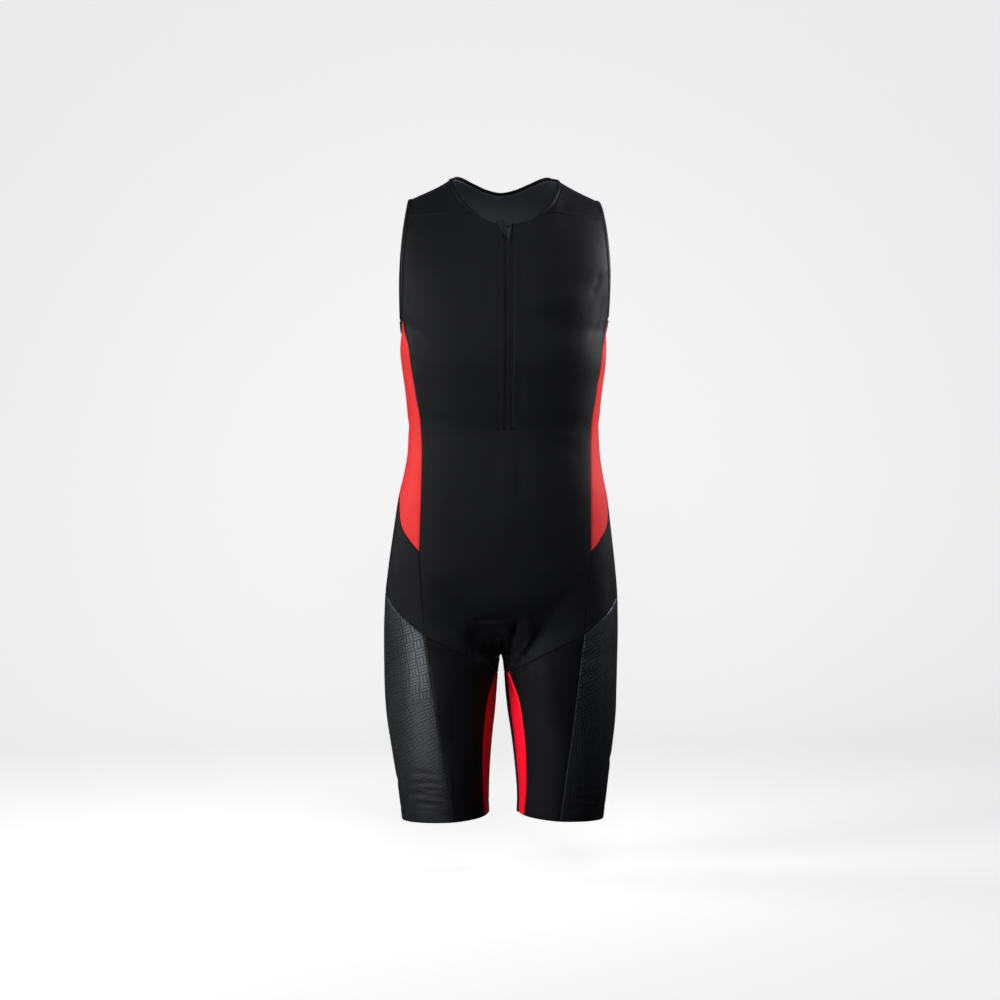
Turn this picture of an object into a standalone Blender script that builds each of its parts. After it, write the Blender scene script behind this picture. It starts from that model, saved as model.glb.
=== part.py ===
"""A sleeveless triathlon suit with short legs, filled out as if it were worn.

Metres, +Z up, the front faces -Y. The origin lies between the shoulders at mid shoulder height,
where the wearer's shoulders carry the suit. The wearer's right is at -X.
"""
import math

import bmesh
import bpy
import numpy as np
from mathutils import Matrix, Vector

CLOTH = 0.0012
SEAM_GAP = 0.0003
SEAM_TRIM = 0.0002
WELD = 0.00002
FORK_TRIM = 5.0
FORK_REACH = 0.014
BINDING_WIDTH = 0.005
BINDING_THICKNESS = 0.0022
# share of the width from the cloth's edge, share of the thickness
BINDING_SECTION = ((0.0, -0.4), (0.0, 0.4), (0.6, 0.5), (1.0, 0.2), (1.0, -0.2), (0.6, -0.5))

ARMPIT_Z = -0.215
ARMHOLE_X = 0.1525
SHOULDER_TIP_X = 0.1387
ARMHOLE_HALF_RING = 0.155
ARMHOLE_ROUND = 0.09
PANEL_TOP_Z = -0.1975
ZIP_BOTTOM_Z = -0.363
SLIT_HALF = 0.0055
RED_TIP_Z = -0.540
CROTCH_Z = -0.6975
RISE_TOP_Z = -0.600
THIGH_BLEND = (-0.56, -0.76)
CROTCH_EASE = 0.05
CROTCH_REACH = 0.22
STUB_DROP = 0.026
HEM_Z = -0.930
HEM_DROP = 0.012
HEM_FRONT_SHARE = 0.7
SIDE_WAIST_RISE = 0.063
# height at the middle of the back, rise from there to the back seam
BACK_WAIST = (-0.320, 0.020)
BACK_HIP = (-0.450, 0.045)
TORSO_POWER = 2.4
SHOULDER_POWER = 2.3
NECK_HALF = 0.0815
NECK_FRONT_Z = -0.063

# height, half width, depth in front, depth behind
TORSO = (
    (-0.2150, 0.1525, 0.1130, 0.1120),
    (-0.2415, 0.1544, 0.1140, 0.1090),
    (-0.2655, 0.1520, 0.1130, 0.1050),
    (-0.3015, 0.1470, 0.1080, 0.0980),
    (-0.3300, 0.1440, 0.1040, 0.0920),
    (-0.3630, 0.1423, 0.0990, 0.0880),
    (-0.3990, 0.1440, 0.0990, 0.0900),
    (-0.4290, 0.1490, 0.1000, 0.0930),
    (-0.4590, 0.1555, 0.1010, 0.0990),
    (-0.4950, 0.1605, 0.1015, 0.1070),
    (-0.5295, 0.1650, 0.1010, 0.1150),
    (-0.5655, 0.1695, 0.1000, 0.1180),
    (-0.6000, 0.1730, 0.0990, 0.1195),
    (-0.6400, 0.1748, 0.0980, 0.1180),
    (-0.7050, 0.1748, 0.0960, 0.1120),
    (-0.7500, 0.1740, 0.0940, 0.1060),
    (-0.7875, 0.1716, 0.0920, 0.1000),
    (-0.8355, 0.1652, 0.0900, 0.0950),
    (-0.8835, 0.1583, 0.0880, 0.0900),
    (-0.9450, 0.1505, 0.0860, 0.0850),
)
# height, inner edge from the middle, centre behind the middle, half depth, start of the ring in degrees
LEG = (
    (-0.5600, 0.0000, 0.0120, 0.1030, 0.0),
    (-0.6975, 0.0000, 0.0100, 0.1000, 0.0),
    (-0.7050, 0.0025, 0.0100, 0.0995, 5.0),
    (-0.7200, 0.0045, 0.0095, 0.0985, 11.0),
    (-0.7500, 0.0073, 0.0090, 0.0960, 14.0),
    (-0.7800, 0.0102, 0.0080, 0.0925, 14.0),
    (-0.8100, 0.0142, 0.0065, 0.0885, 13.0),
    (-0.8400, 0.0175, 0.0055, 0.0845, 12.0),
    (-0.8700, 0.0200, 0.0048, 0.0800, 12.0),
    (-0.9000, 0.0216, 0.0042, 0.0758, 12.0),
    (-0.9450, 0.0210, 0.0040, 0.0700, 12.0),
)
# distance from the middle, height of the shoulder line
RIDGE = (
    (-0.060, 0.0290),
    (0.000, 0.0350),
    (0.060, 0.0290),
    (0.0735, 0.0215),
    (0.0795, 0.0150),
    (0.0855, 0.0105),
    (0.0945, 0.0050),
    (0.1095, -0.0030),
    (0.1290, -0.0120),
    (0.1440, -0.0185),
    (0.1700, -0.0280),
)
# distance from the middle, height of the back neck edge
BACK_NECK = (
    (-0.0225, 0.0035),
    (0.0000, -0.0005),
    (0.0225, 0.0035),
    (0.0450, 0.0120),
    (0.0615, 0.0180),
    (0.0720, 0.0185),
    (0.0815, 0.0135),
)
# height, distance from the middle of the front seam
FRONT_SEAM = (
    (-0.1975, 0.1525),
    (-0.2655, 0.1412),
    (-0.3150, 0.1331),
    (-0.3420, 0.1280),
    (-0.3750, 0.1255),
    (-0.4230, 0.1252),
    (-0.4710, 0.1257),
    (-0.5070, 0.1264),
    (-0.5400, 0.1268),
    (-0.5850, 0.1235),
    (-0.6255, 0.1200),
    (-0.6690, 0.1165),
    (-0.7050, 0.1113),
    (-0.7500, 0.1055),
    (-0.8025, 0.0985),
    (-0.8715, 0.0878),
    (-0.9195, 0.0813),
    (-0.9465, 0.0776),
)
# height, ring position of the back seam
BACK_SEAM = (
    (-0.1975, 0.5684),
    (-0.3000, 0.5750),
    (-0.4050, 0.5850),
    (-0.5500, 0.6100),
    (-0.6200, 0.6300),
    (-0.7200, 0.6450),
    (-0.9450, 0.6500),
)
# height, front edge of the inner leg panel in degrees round the leg
INNER_SEAM = (
    (-0.6975, 16.0),
    (-0.7245, 22.0),
    (-0.7575, 34.0),
    (-0.8000, 37.0),
    (-0.8475, 36.0),
    (-0.8955, 32.0),
    (-0.9450, 26.0),
)
# share of the way from the inseam to the front seam, height of the seam below the front
FRONT_LOWER = (
    (0.0, -0.7235),
    (0.264, -0.7220),
    (0.537, -0.7120),
    (0.738, -0.6885),
    (0.873, -0.6755),
    (1.0, -0.6640),
)
# share of the way from the inseam to the back seam, height of the seam below the seat
BACK_LOWER = (
    (0.0, -0.7235),
    (0.3, -0.7210),
    (0.6, -0.7000),
    (0.8, -0.6650),
    (1.0, -0.6120),
)
# share of the way from the front seam to the back seam, height of the seam over the thigh panel
SIDE_LOWER = (
    (0.0, -0.6640),
    (0.13, -0.6470),
    (0.28, -0.6310),
    (0.58, -0.6060),
    (0.78, -0.6020),
    (1.0, -0.6120),
)
# share of the way from the front seam to the back seam, lower edge of the red side panel
RED_EDGE = (
    (0.0, -0.5400),
    (0.18, -0.5205),
    (0.39, -0.4965),
    (0.51, -0.4710),
    (0.74, -0.4470),
    (1.0, -0.4050),
)
# height, sideways lean of the whole suit
LEAN = (
    (-0.40, 0.0),
    (-0.50, -0.0017),
    (-0.62, -0.0033),
    (-0.75, -0.0034),
    (-0.84, -0.0020),
    (-0.90, -0.0008),
)

FRONT_COLUMNS = 8
INNER_COLUMNS = 3
SIDE_COLUMNS = 8
BACK_COLUMNS = 7
CHEST_ROWS = 5
WAIST_ROWS = 5
HIP_ROWS = 8
STUB_ROWS = 2
LEG_ROWS = 8
FRONT_CENTRE_ROWS = 5
NECK_FRONT_ROWS = 4
NECK_SIDE_ROWS = 5
NECK_BACK_ROWS = 6
BACK_CENTRE_ROWS = 6
YOKE_NECK_ANGLE = 34.0
YOKE_ARMHOLE_ANGLE = 57.0
DENSE = np.linspace(0.0, 1.0, 801)

ZIP_TAPE_INNER = 0.0025
ZIP_TAPE_OUTER = 0.0130
TAPE_THICKNESS = 0.0008
COIL_HALF = 0.0022
COIL_THICKNESS = 0.0018
ZIP_TOP_Z = -0.0610
TAPE_END = 0.006
TAPE_GAP = 0.0005
TAPE_LEVEL = -(CLOTH / 2 + TAPE_GAP + TAPE_THICKNESS / 2)
SLOPE_STEP = 0.001
GARAGE_X = (-0.0165, -0.0062)
GARAGE_TOP_Z = -0.0530
GARAGE_LENGTH = 0.009
GARAGE_LIFT = 0.0014

SLIDER_Z = -0.0642
SLIDER_WIDTH = 0.0090
SLIDER_LENGTH = 0.0110
SLIDER_REACH = 0.004
SLIDER_BRIDGE = 0.0015
ARCH_CHAMFER = 0.0006
PLATE = 0.0009
SLIDER_SLOT = 0.0026
PLATE_STEP = 0.0001
ARCH_WIDTH = 0.0030
ARCH_HOLE = 0.0023
ARCH_WALL = 0.0011
PULL_LENGTH = 0.0250
PULL_TOP_WIDTH = 0.0090
PULL_TIP_WIDTH = 0.0014
PULL_STRAIGHT = 0.0058
PULL_TIP_CORNER = (0.0006, 0.0016)
PULL_THICKNESS = 0.0012
WINDOW_WIDTH = 0.0044
WINDOW_LENGTH = 0.0040

PAD_THICKNESS = 0.004
PAD_CLEARANCE = 0.0027
PAD_HALF_WIDTH = 0.045
PAD_CURL = 0.003
PAD_FRONT_TURN = 22.0
PAD_BACK_TURN = 152.0
PAD_STEPS = 12
PAD_END_SHARE = 0.55
PAD_SWELL = 0.6

BLACK = (0.012, 0.013, 0.017)
BINDING_BLACK = (0.008, 0.009, 0.012)
RED = (0.85, 0.035, 0.035)
INNER_RED = (0.72, 0.006, 0.018)
PRINT_GREY = (0.035, 0.038, 0.046)
ZIP_GREY = (0.05, 0.053, 0.062)
PAD_GREY = (0.03, 0.032, 0.04)


def column(table, key, index=1):
    """Value of one table column at key, by a smooth cubic through the rows."""
    rows = np.array(sorted(table))
    x = rows[:, 0]
    y = rows[:, index]
    slopes = np.gradient(y, x)
    key = np.clip(key, x[0], x[-1])
    i = np.clip(np.searchsorted(x, key) - 1, 0, len(x) - 2)
    span = x[i + 1] - x[i]
    u = (key - x[i]) / span
    rise = y[i + 1] - y[i]
    return (y[i] + u * u * (3 - 2 * u) * rise
            + span * u * (1 - u) * ((1 - u) * slopes[i] - u * slopes[i + 1]))


def smooth(value):
    """Ease from 0 to 1 with level ends."""
    value = np.clip(value, 0.0, 1.0)
    return value * value * (3.0 - 2.0 * value)


def leg_share(t):
    """Share of the way round the leg at ring position t, slow to start at the inseam."""
    near = np.minimum(t, 1.0 - t)
    share = 0.5 * (near ** 2 / (near + CROTCH_EASE)) / (0.25 / (0.5 + CROTCH_EASE))
    return np.where(t <= 0.5, share, 1.0 - share)


def ring_of_share(share):
    """Ring position in the front half at a share of the way round the leg."""
    scaled = share * 2.0 * 0.25 / (0.5 + CROTCH_EASE)
    return (scaled + math.sqrt(scaled * scaled + 4.0 * scaled * CROTCH_EASE)) / 2.0


def torso_half_width(z):
    """Half width of the torso's section; over the armpit it goes on past the armhole's edge."""
    if z <= ARMPIT_Z:
        return float(column(TORSO, z, 1))
    ring = 0.5 - ARMHOLE_HALF_RING * math.sqrt(min((z - ARMPIT_Z) / ARMHOLE_ROUND, 1.0))
    return ARMHOLE_X / math.sin(math.pi * ring) ** (2 / TORSO_POWER)


def shoulder_fall(x, z):
    """Share of the chest's depth that is left at height z as the form closes over the shoulder."""
    height = (z - ARMPIT_Z) / (column(RIDGE, np.abs(x)) - ARMPIT_Z)
    return (1.0 - np.clip(height, 0.0, 1.0) ** SHOULDER_POWER) ** (1 / SHOULDER_POWER)


def suit_points(t, z):
    """Points of the right half's form at ring positions t (0 middle front, 1 middle back)."""
    t = np.asarray(t, dtype=float)
    width = torso_half_width(z)
    front = float(column(TORSO, z, 2))
    back = float(column(TORSO, z, 3))
    power = 2 / TORSO_POWER
    torso_x = width * np.abs(np.sin(np.pi * t)) ** power
    depth = np.abs(np.cos(np.pi * t)) ** power
    torso_y = np.where(t < 0.5, -front, back) * depth * shoulder_fall(torso_x, z)
    inner = float(column(LEG, z, 1)) if z < CROTCH_Z else 0.0
    start = math.radians(float(column(LEG, z, 4))) if z < CROTCH_Z else 0.0
    radius = (width - inner) / 2
    angle = start + 2 * np.pi * leg_share(t)
    leg_x = inner + radius * (1 - np.cos(angle))
    leg_y = float(column(LEG, z, 2)) - float(column(LEG, z, 3)) * np.sin(angle)
    near = 1.0 - smooth(np.minimum(t, 1.0 - t) / CROTCH_REACH)
    reach = min(max((RISE_TOP_Z - z) / (RISE_TOP_Z - CROTCH_Z), 0.0), 1.0)
    rise = 1.0 - math.sqrt(1.0 - reach * reach)
    thigh = smooth((THIGH_BLEND[0] - z) / (THIGH_BLEND[0] - THIGH_BLEND[1]))
    share = near * rise + (1.0 - near) * thigh
    x = torso_x * (1 - share) + leg_x * share
    y = torso_y * (1 - share) + leg_y * share
    return np.stack([x, y, np.full_like(x, z)], axis=-1)


def ring_at_x(x, z):
    """Ring position in front where the form is x from the middle."""
    dense = DENSE[DENSE <= 0.5]
    return float(np.interp(x, suit_points(dense, z)[:, 0], dense))


def front_seam(z):
    """Ring position of the seam down the side of the front."""
    return ring_at_x(float(column(FRONT_SEAM, z)), z)


def inner_seam(z):
    """Ring position of the inner leg panel's front edge."""
    start = float(column(LEG, z, 4))
    return ring_of_share((float(column(INNER_SEAM, z)) - start) / 360.0)


def between(rows, steps, ease):
    """Heights between two edge heights of one column; ease 1 crowds the steps near the lower."""
    top, bottom = rows
    v = np.arange(1, steps + 1) / steps
    return top + (bottom - top) * (v * (1 - ease) + np.sin(v * np.pi / 2) * ease)


def column_heights(edges, ease=0.0):
    """Heights of a column's points from its armpit, zip, red, crotch, lower seam and hem heights."""
    counts = (CHEST_ROWS, WAIST_ROWS, HIP_ROWS, STUB_ROWS, LEG_ROWS)
    heights = [np.array([edges[0]])]
    for i, steps in enumerate(counts):
        heights.append(between(edges[i:i + 2], steps, ease if i == 2 else 0.0))
    return np.concatenate(heights)


ZIP_ROW = CHEST_ROWS
RED_ROW = ZIP_ROW + WAIST_ROWS
CROTCH_ROW = RED_ROW + HIP_ROWS
LOWER_ROW = CROTCH_ROW + STUB_ROWS
HEM_ROW = LOWER_ROW + LEG_ROWS


def hem_height(share):
    """Hem height at a share of the way from the inseam to the outside of the leg."""
    return HEM_Z - HEM_DROP * share


def front_grid():
    """Points of the front from the middle (column 0) to the front seam, armpit row to hem."""
    grid = np.zeros((HEM_ROW + 1, FRONT_COLUMNS + 1, 3))
    for j in range(FRONT_COLUMNS + 1):
        share = j / FRONT_COLUMNS
        lower = float(np.interp(share, *np.array(FRONT_LOWER).T))
        hem = hem_height(HEM_FRONT_SHARE * share)
        edges = (PANEL_TOP_Z, ZIP_BOTTOM_Z, RED_TIP_Z, lower + STUB_DROP, lower, hem)
        for i, z in enumerate(column_heights(edges, 1.0 - share)):
            seam = front_seam(z)
            slit = ring_at_x(SLIT_HALF, z)
            torso = 0.0 if j == 0 else slit + (seam - slit) * (j - 1) / (FRONT_COLUMNS - 1)
            inner = inner_seam(min(z, CROTCH_Z))
            if j <= INNER_COLUMNS:
                leg = inner * j / INNER_COLUMNS
            else:
                leg = inner + (seam - inner) * (j - INNER_COLUMNS) / (FRONT_COLUMNS - INNER_COLUMNS)
            mix = smooth((RED_TIP_Z - z) / (RED_TIP_Z - lower))
            grid[i, j] = suit_points([torso * (1 - mix) + leg * mix], z)[0]
    return grid


def side_grid():
    """Points of the side from the front seam to the back seam, armhole to hem."""
    grid = np.zeros((HEM_ROW + 1, SIDE_COLUMNS + 1, 3))
    for j in range(SIDE_COLUMNS + 1):
        share = j / SIDE_COLUMNS
        ring = 0.5 - ARMHOLE_HALF_RING * math.sqrt((PANEL_TOP_Z - ARMPIT_Z) / ARMHOLE_ROUND)
        ring = ring + (1 - 2 * ring) * share
        top = ARMPIT_Z + ARMHOLE_ROUND * ((0.5 - ring) / ARMHOLE_HALF_RING) ** 2
        lower = float(np.interp(share, *np.array(SIDE_LOWER).T))
        red = float(column(RED_EDGE, share))
        waist = ZIP_BOTTOM_Z + SIDE_WAIST_RISE * share
        hem = hem_height(HEM_FRONT_SHARE + (1 - HEM_FRONT_SHARE) * math.sin(math.pi * share / 2))
        for i, z in enumerate(column_heights((top, waist, red, lower + STUB_DROP, lower, hem))):
            first = front_seam(min(z, PANEL_TOP_Z))
            last = float(column(BACK_SEAM, z))
            t = ring if i == 0 else first + (last - first) * share
            grid[i, j] = suit_points([t], z)[0]
    return grid


def back_grid():
    """Points of the back from the middle (column 0) to the back seam, armpit row to hem."""
    grid = np.zeros((HEM_ROW + 1, BACK_COLUMNS + 1, 3))
    for j in range(BACK_COLUMNS + 1):
        share = j / BACK_COLUMNS
        lower = float(np.interp(share, *np.array(BACK_LOWER).T))
        waist = BACK_WAIST[0] + BACK_WAIST[1] * share
        red = BACK_HIP[0] + BACK_HIP[1] * share
        edges = (PANEL_TOP_Z, waist, red, lower + STUB_DROP, lower, hem_height(share))
        for i, z in enumerate(column_heights(edges, 1.0 - share)):
            seam = float(column(BACK_SEAM, z))
            grid[i, j] = suit_points([1.0 - (1.0 - seam) * share], z)[0]
    return grid


def shoulder_point(x, angle):
    """Point of the form x from the middle at an angle over the shoulder, 0 front to 180 back."""
    turn = math.radians(angle)
    power = 2 / SHOULDER_POWER
    z = ARMPIT_Z + (float(column(RIDGE, x)) - ARMPIT_Z) * math.sin(turn) ** power
    width = torso_half_width(z)
    depth = (1.0 - min(x / width, 1.0) ** TORSO_POWER) ** (1 / TORSO_POWER)
    side = -TORSO[0][2] if angle < 90 else TORSO[0][3]
    return np.array([x, side * depth * abs(math.cos(turn)) ** power, z])


def shoulder_angle(x, z, behind=False):
    """Angle over the shoulder at which the form has height z, x from the middle."""
    height = (z - ARMPIT_Z) / (float(column(RIDGE, x)) - ARMPIT_Z)
    angle = math.degrees(math.asin(min(max(height, 0.0), 1.0) ** (SHOULDER_POWER / 2)))
    return 180.0 - angle if behind else angle


def armhole_x(angle):
    """Distance of the armhole's edge from the middle at an angle over the shoulder."""
    return ARMHOLE_X - (ARMHOLE_X - SHOULDER_TIP_X) * math.sin(math.radians(angle)) ** 3


def inner_edge():
    """Inner ends (x, angle) of the shoulder rows: middle front, neck edge, middle back."""
    ends = []
    for z in np.linspace(PANEL_TOP_Z, NECK_FRONT_Z, FRONT_CENTRE_ROWS + 1):
        ends.append((SLIT_HALF, shoulder_angle(SLIT_HALF, z)))
    ridge = float(column(RIDGE, NECK_HALF))
    first = math.degrees(math.asin(SLIT_HALF / NECK_HALF))
    rows = (NECK_FRONT_ROWS, NECK_SIDE_ROWS)
    stops = (first, YOKE_NECK_ANGLE, 90.0)
    for i, steps in enumerate(rows):
        for turn in np.linspace(stops[i], stops[i + 1], steps + 1)[1:]:
            x = NECK_HALF * math.sin(math.radians(turn))
            z = ridge - (ridge - NECK_FRONT_Z) * math.cos(math.radians(turn))
            ends.append((x, shoulder_angle(x, z)))
    for x in np.linspace(NECK_HALF, 0.0, NECK_BACK_ROWS + 1)[1:]:
        ends.append((x, shoulder_angle(x, float(column(BACK_NECK, x)), True)))
    middle = float(column(BACK_NECK, 0.0))
    for z in np.linspace(middle, PANEL_TOP_Z, BACK_CENTRE_ROWS + 1)[1:]:
        ends.append((0.0, shoulder_angle(0.0, z, True)))
    return ends


YOKE_ROW = FRONT_CENTRE_ROWS + NECK_FRONT_ROWS
RIDGE_ROW = YOKE_ROW + NECK_SIDE_ROWS
SHOULDER_ROWS = RIDGE_ROW + NECK_BACK_ROWS + BACK_CENTRE_ROWS


def outer_angles():
    """Angles over the shoulder of the rows' outer ends, on the armhole's edge."""
    start = shoulder_angle(ARMHOLE_X, PANEL_TOP_Z)
    front = np.linspace(start, YOKE_ARMHOLE_ANGLE, YOKE_ROW + 1)
    over = np.linspace(YOKE_ARMHOLE_ANGLE, 90.0, NECK_SIDE_ROWS + 1)[1:]
    behind = np.linspace(90.0, 180.0 - start, SHOULDER_ROWS - RIDGE_ROW + 1)[1:]
    return np.concatenate([front, over, behind])


def shoulder_grid(front, back):
    """Points from the armpit row in front, over the shoulder, to the armpit row behind."""
    grid = np.zeros((SHOULDER_ROWS + 1, BACK_COLUMNS + 1, 3))
    grid[0] = front[0, 1:]
    grid[-1] = back[0]
    front_share = (grid[0, :, 0] - grid[0, 0, 0]) / (grid[0, -1, 0] - grid[0, 0, 0])
    back_share = grid[-1, :, 0] / grid[-1, -1, 0]
    for i, ((x, angle), outer) in enumerate(zip(inner_edge(), outer_angles())):
        if 0 < i < SHOULDER_ROWS:
            along = i / SHOULDER_ROWS
            for j in range(BACK_COLUMNS + 1):
                share = front_share[j] * (1 - along) + back_share[j] * along
                across = x + (armhole_x(outer) - x) * share
                grid[i, j] = shoulder_point(across, angle + (outer - angle) * share)
    return grid


def leaned(points):
    """The points with the suit's small sideways lean added."""
    points = np.array(points, dtype=float)
    points[..., 0] += column(LEAN, points[..., 2])
    return points


def mirrored(grid):
    """The grid on the other half of the suit, still facing out."""
    return (np.asarray(grid) * np.array([-1.0, 1.0, 1.0]))[:, ::-1]


def material(name, colour, roughness, metallic=0.0):
    """A Principled material."""
    made = bpy.data.materials.get(name)
    if made is None:
        made = bpy.data.materials.new(name)
        made.use_nodes = True
        surface = made.node_tree.nodes["Principled BSDF"]
        surface.inputs["Base Color"].default_value = (*colour, 1.0)
        surface.inputs["Roughness"].default_value = roughness
        surface.inputs["Metallic"].default_value = metallic
    return made


def add_object(name, bm, finish):
    """Make a named object of a bmesh in the suit's collection."""
    mesh = bpy.data.meshes.new(name)
    bm.to_mesh(mesh)
    bm.free()
    mesh.materials.append(finish)
    made = bpy.data.objects.new(name, mesh)
    suit.objects.link(made)
    return made


def add_patch(bm, grid):
    """Add a grid of points as faces; rows run down and columns to +X on the front."""
    rows, columns = grid.shape[:2]
    verts = [[bm.verts.new(grid[i, j]) for j in range(columns)] for i in range(rows)]
    for i in range(rows - 1):
        for j in range(columns - 1):
            corners = [verts[i][j], verts[i + 1][j], verts[i + 1][j + 1], verts[i][j + 1]]
            bm.faces.new(corners)


def trim_edges(bm, gap):
    """Draw the open edges in along the cloth, to leave room for the seam, more where four seams meet."""
    moves = {}
    for vert in bm.verts:
        inward = []
        for edge in vert.link_edges:
            if edge.is_boundary:
                face = edge.link_faces[0]
                along = (edge.verts[1].co - edge.verts[0].co).normalized()
                side = face.normal.cross(along).normalized()
                if side.dot(face.calc_center_median() - edge.verts[0].co) < 0:
                    side.negate()
                inward.append(side)
        if len(inward) == 2:
            moves[vert] = gap * (inward[0] + inward[1]) / max(1.0 + inward[0].dot(inward[1]), 0.5)
    fork = Vector((0.0, LEG[1][2], CROTCH_Z))
    for vert, move in moves.items():
        near = math.exp(-((vert.co - fork).length / FORK_REACH) ** 2)
        vert.co += move * (1.0 + FORK_TRIM * near)


def panel(name, patches, finish, thickness=CLOTH, trim=SEAM_TRIM):
    """One cut piece: its patches welded, drawn back at the seams and given the cloth's thickness."""
    bm = bmesh.new()
    for grid in patches:
        add_patch(bm, leaned(grid))
    bmesh.ops.remove_doubles(bm, verts=bm.verts, dist=WELD)
    bm.normal_update()
    trim_edges(bm, trim)
    made = add_object(name, bm, finish)
    shell = made.modifiers.new("cloth", "SOLIDIFY")
    shell.thickness = thickness
    shell.offset = 0.0
    shell.use_even_offset = True
    return made


def halves(grid):
    """The grid and its mirror image."""
    return [grid, mirrored(grid)]


def add_body(front, side, back, over):
    """The cut pieces of cloth, from the shoulders to the hems."""
    black = material("black_knit", BLACK, 0.62)
    red = material("red_knit", RED, 0.55)
    inner_red = material("inner_red_knit", INNER_RED, 0.55)
    printed = material("printed_knit", PRINT_GREY, 0.6)
    chest = front[:ZIP_ROW + 1, 1:]
    belly = front[ZIP_ROW:LOWER_ROW + 1]
    shoulder = [grid[:, ::-1] for grid in halves(over[:YOKE_ROW + 1])]
    panel("front", halves(chest) + halves(belly) + shoulder, black)
    seat = back[:LOWER_ROW + 1, ::-1]
    shoulder = [grid[:, ::-1] for grid in halves(over[YOKE_ROW:])]
    panel("back", halves(seat) + shoulder, black)
    for sign, word in ((0, "left"), (1, "right")):
        panel("side_panel_" + word, [halves(side[:RED_ROW + 1])[sign]], red)
        panel("hip_" + word, [halves(side[RED_ROW:LOWER_ROW + 1])[sign]], black)
        panel("thigh_" + word, [halves(side[LOWER_ROW:])[sign]], printed)
        panel("leg_front_" + word, [halves(front[LOWER_ROW:, INNER_COLUMNS:])[sign]], black)
        panel("inner_leg_" + word, [halves(front[LOWER_ROW:, :INNER_COLUMNS + 1])[sign]], inner_red)
        panel("leg_back_" + word, [halves(back[LOWER_ROW:, ::-1])[sign]], black)


def roll(name, edge, inner, finish, closed):
    """A binding along an edge: a soft flat section carried on past the cloth, away from inner."""
    edge = leaned(edge)
    inner = leaned(inner)
    count = len(edge)
    bm = bmesh.new()
    rings = []
    for k in range(count):
        if closed:
            along = Vector(edge[(k + 1) % count] - edge[k - 1]).normalized()
        else:
            along = Vector(edge[min(k + 1, count - 1)] - edge[max(k - 1, 0)]).normalized()
        away = Vector(edge[k] - inner[k])
        away = (away - along * away.dot(along)).normalized()
        face = along.cross(away)
        ring = []
        for reach, level in BINDING_SECTION:
            outward = SEAM_GAP + reach * (BINDING_WIDTH - SEAM_GAP)
            ring.append(bm.verts.new(Vector(edge[k]) + away * outward + face * level * BINDING_THICKNESS))
        rings.append(ring)
    for k in range(count if closed else count - 1):
        first = rings[k]
        second = rings[(k + 1) % count]
        for i in range(len(BINDING_SECTION)):
            follow = (i + 1) % len(BINDING_SECTION)
            bm.faces.new([first[i], first[follow], second[follow], second[i]])
    if not closed:
        bm.faces.new(rings[0][::-1])
        bm.faces.new(rings[-1])
    bmesh.ops.recalc_face_normals(bm, faces=bm.faces)
    return add_object(name, bm, finish)


def add_bindings(side, over):
    """The bindings round the neck and both armholes."""
    finish = material("binding_knit", BINDING_BLACK, 0.5)
    edge = np.concatenate([over[:, -1], side[0, ::-1][1:-1]])
    inner = np.concatenate([over[:, -2], side[1, ::-1][1:-1]])
    flip = np.array([-1.0, 1.0, 1.0])
    roll("armhole_binding_left", edge, inner, finish, True)
    roll("armhole_binding_right", edge * flip, inner * flip, finish, True)
    first = FRONT_CENTRE_ROWS
    last = SHOULDER_ROWS - BACK_CENTRE_ROWS
    half = over[first:last + 1, 0]
    half_inner = over[first:last + 1, 1].copy()
    half_inner[0] = over[first - 1, 0] + (half[1] - half[0]) * 0.5
    half_inner[-1] = over[last + 1, 0]
    neck = np.concatenate([half, half[-2::-1] * flip])
    neck_inner = np.concatenate([half_inner, half_inner[-2::-1] * flip])
    roll("neck_binding", neck, neck_inner, finish, False)


def front_face(x, z, out=0.0):
    """Point on the front's form x from the middle at height z above the hip, moved out."""
    def depth(level):
        share = (1.0 - (abs(x) / torso_half_width(level)) ** TORSO_POWER) ** (1 / TORSO_POWER)
        return -float(column(TORSO, level, 2)) * share * float(shoulder_fall(x, level))
    slope = (depth(z + SLOPE_STEP) - depth(z - SLOPE_STEP)) / (2 * SLOPE_STEP)
    normal = np.array([0.0, -1.0, slope]) / math.hypot(1.0, slope)
    return np.array([x, depth(z), z]) + normal * out


def strip(name, x_range, heights, out, thickness, finish):
    """A strip on the front's form between two distances from the middle, at the front's own rows."""
    places = np.linspace(x_range[0], x_range[1], 3)
    grid = np.array([[front_face(x, z, out) for x in places] for z in heights])
    return panel(name, [grid], finish, thickness, 0.0)


def add_zip():
    """The zip's two tapes and its closed coil, behind the slit in the front, and the fold at its top."""
    finish = material("zip_black", ZIP_GREY, 0.5)
    upper = np.linspace(PANEL_TOP_Z, NECK_FRONT_Z, FRONT_CENTRE_ROWS + 1)[-2:0:-1]
    lower = np.linspace(PANEL_TOP_Z, ZIP_BOTTOM_Z, CHEST_ROWS + 1)
    rows = np.concatenate([[ZIP_TOP_Z], upper, lower])
    tape_rows = np.append(rows, ZIP_BOTTOM_Z - TAPE_END)
    tape = (ZIP_TAPE_INNER, ZIP_TAPE_OUTER)
    strip("zip_tape_left", tape, tape_rows, TAPE_LEVEL, TAPE_THICKNESS, finish)
    strip("zip_tape_right", (-tape[1], -tape[0]), tape_rows, TAPE_LEVEL, TAPE_THICKNESS, finish)
    strip("zip_coil", (-COIL_HALF, COIL_HALF), rows, TAPE_LEVEL, COIL_THICKNESS, finish)
    level = BINDING_THICKNESS / 2 + GARAGE_LIFT + CLOTH / 2
    fold = np.linspace(GARAGE_TOP_Z, GARAGE_TOP_Z - GARAGE_LENGTH, 4)
    strip("zip_garage", GARAGE_X, fold, level, CLOTH, material("binding_knit", BINDING_BLACK, 0.5))


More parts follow.
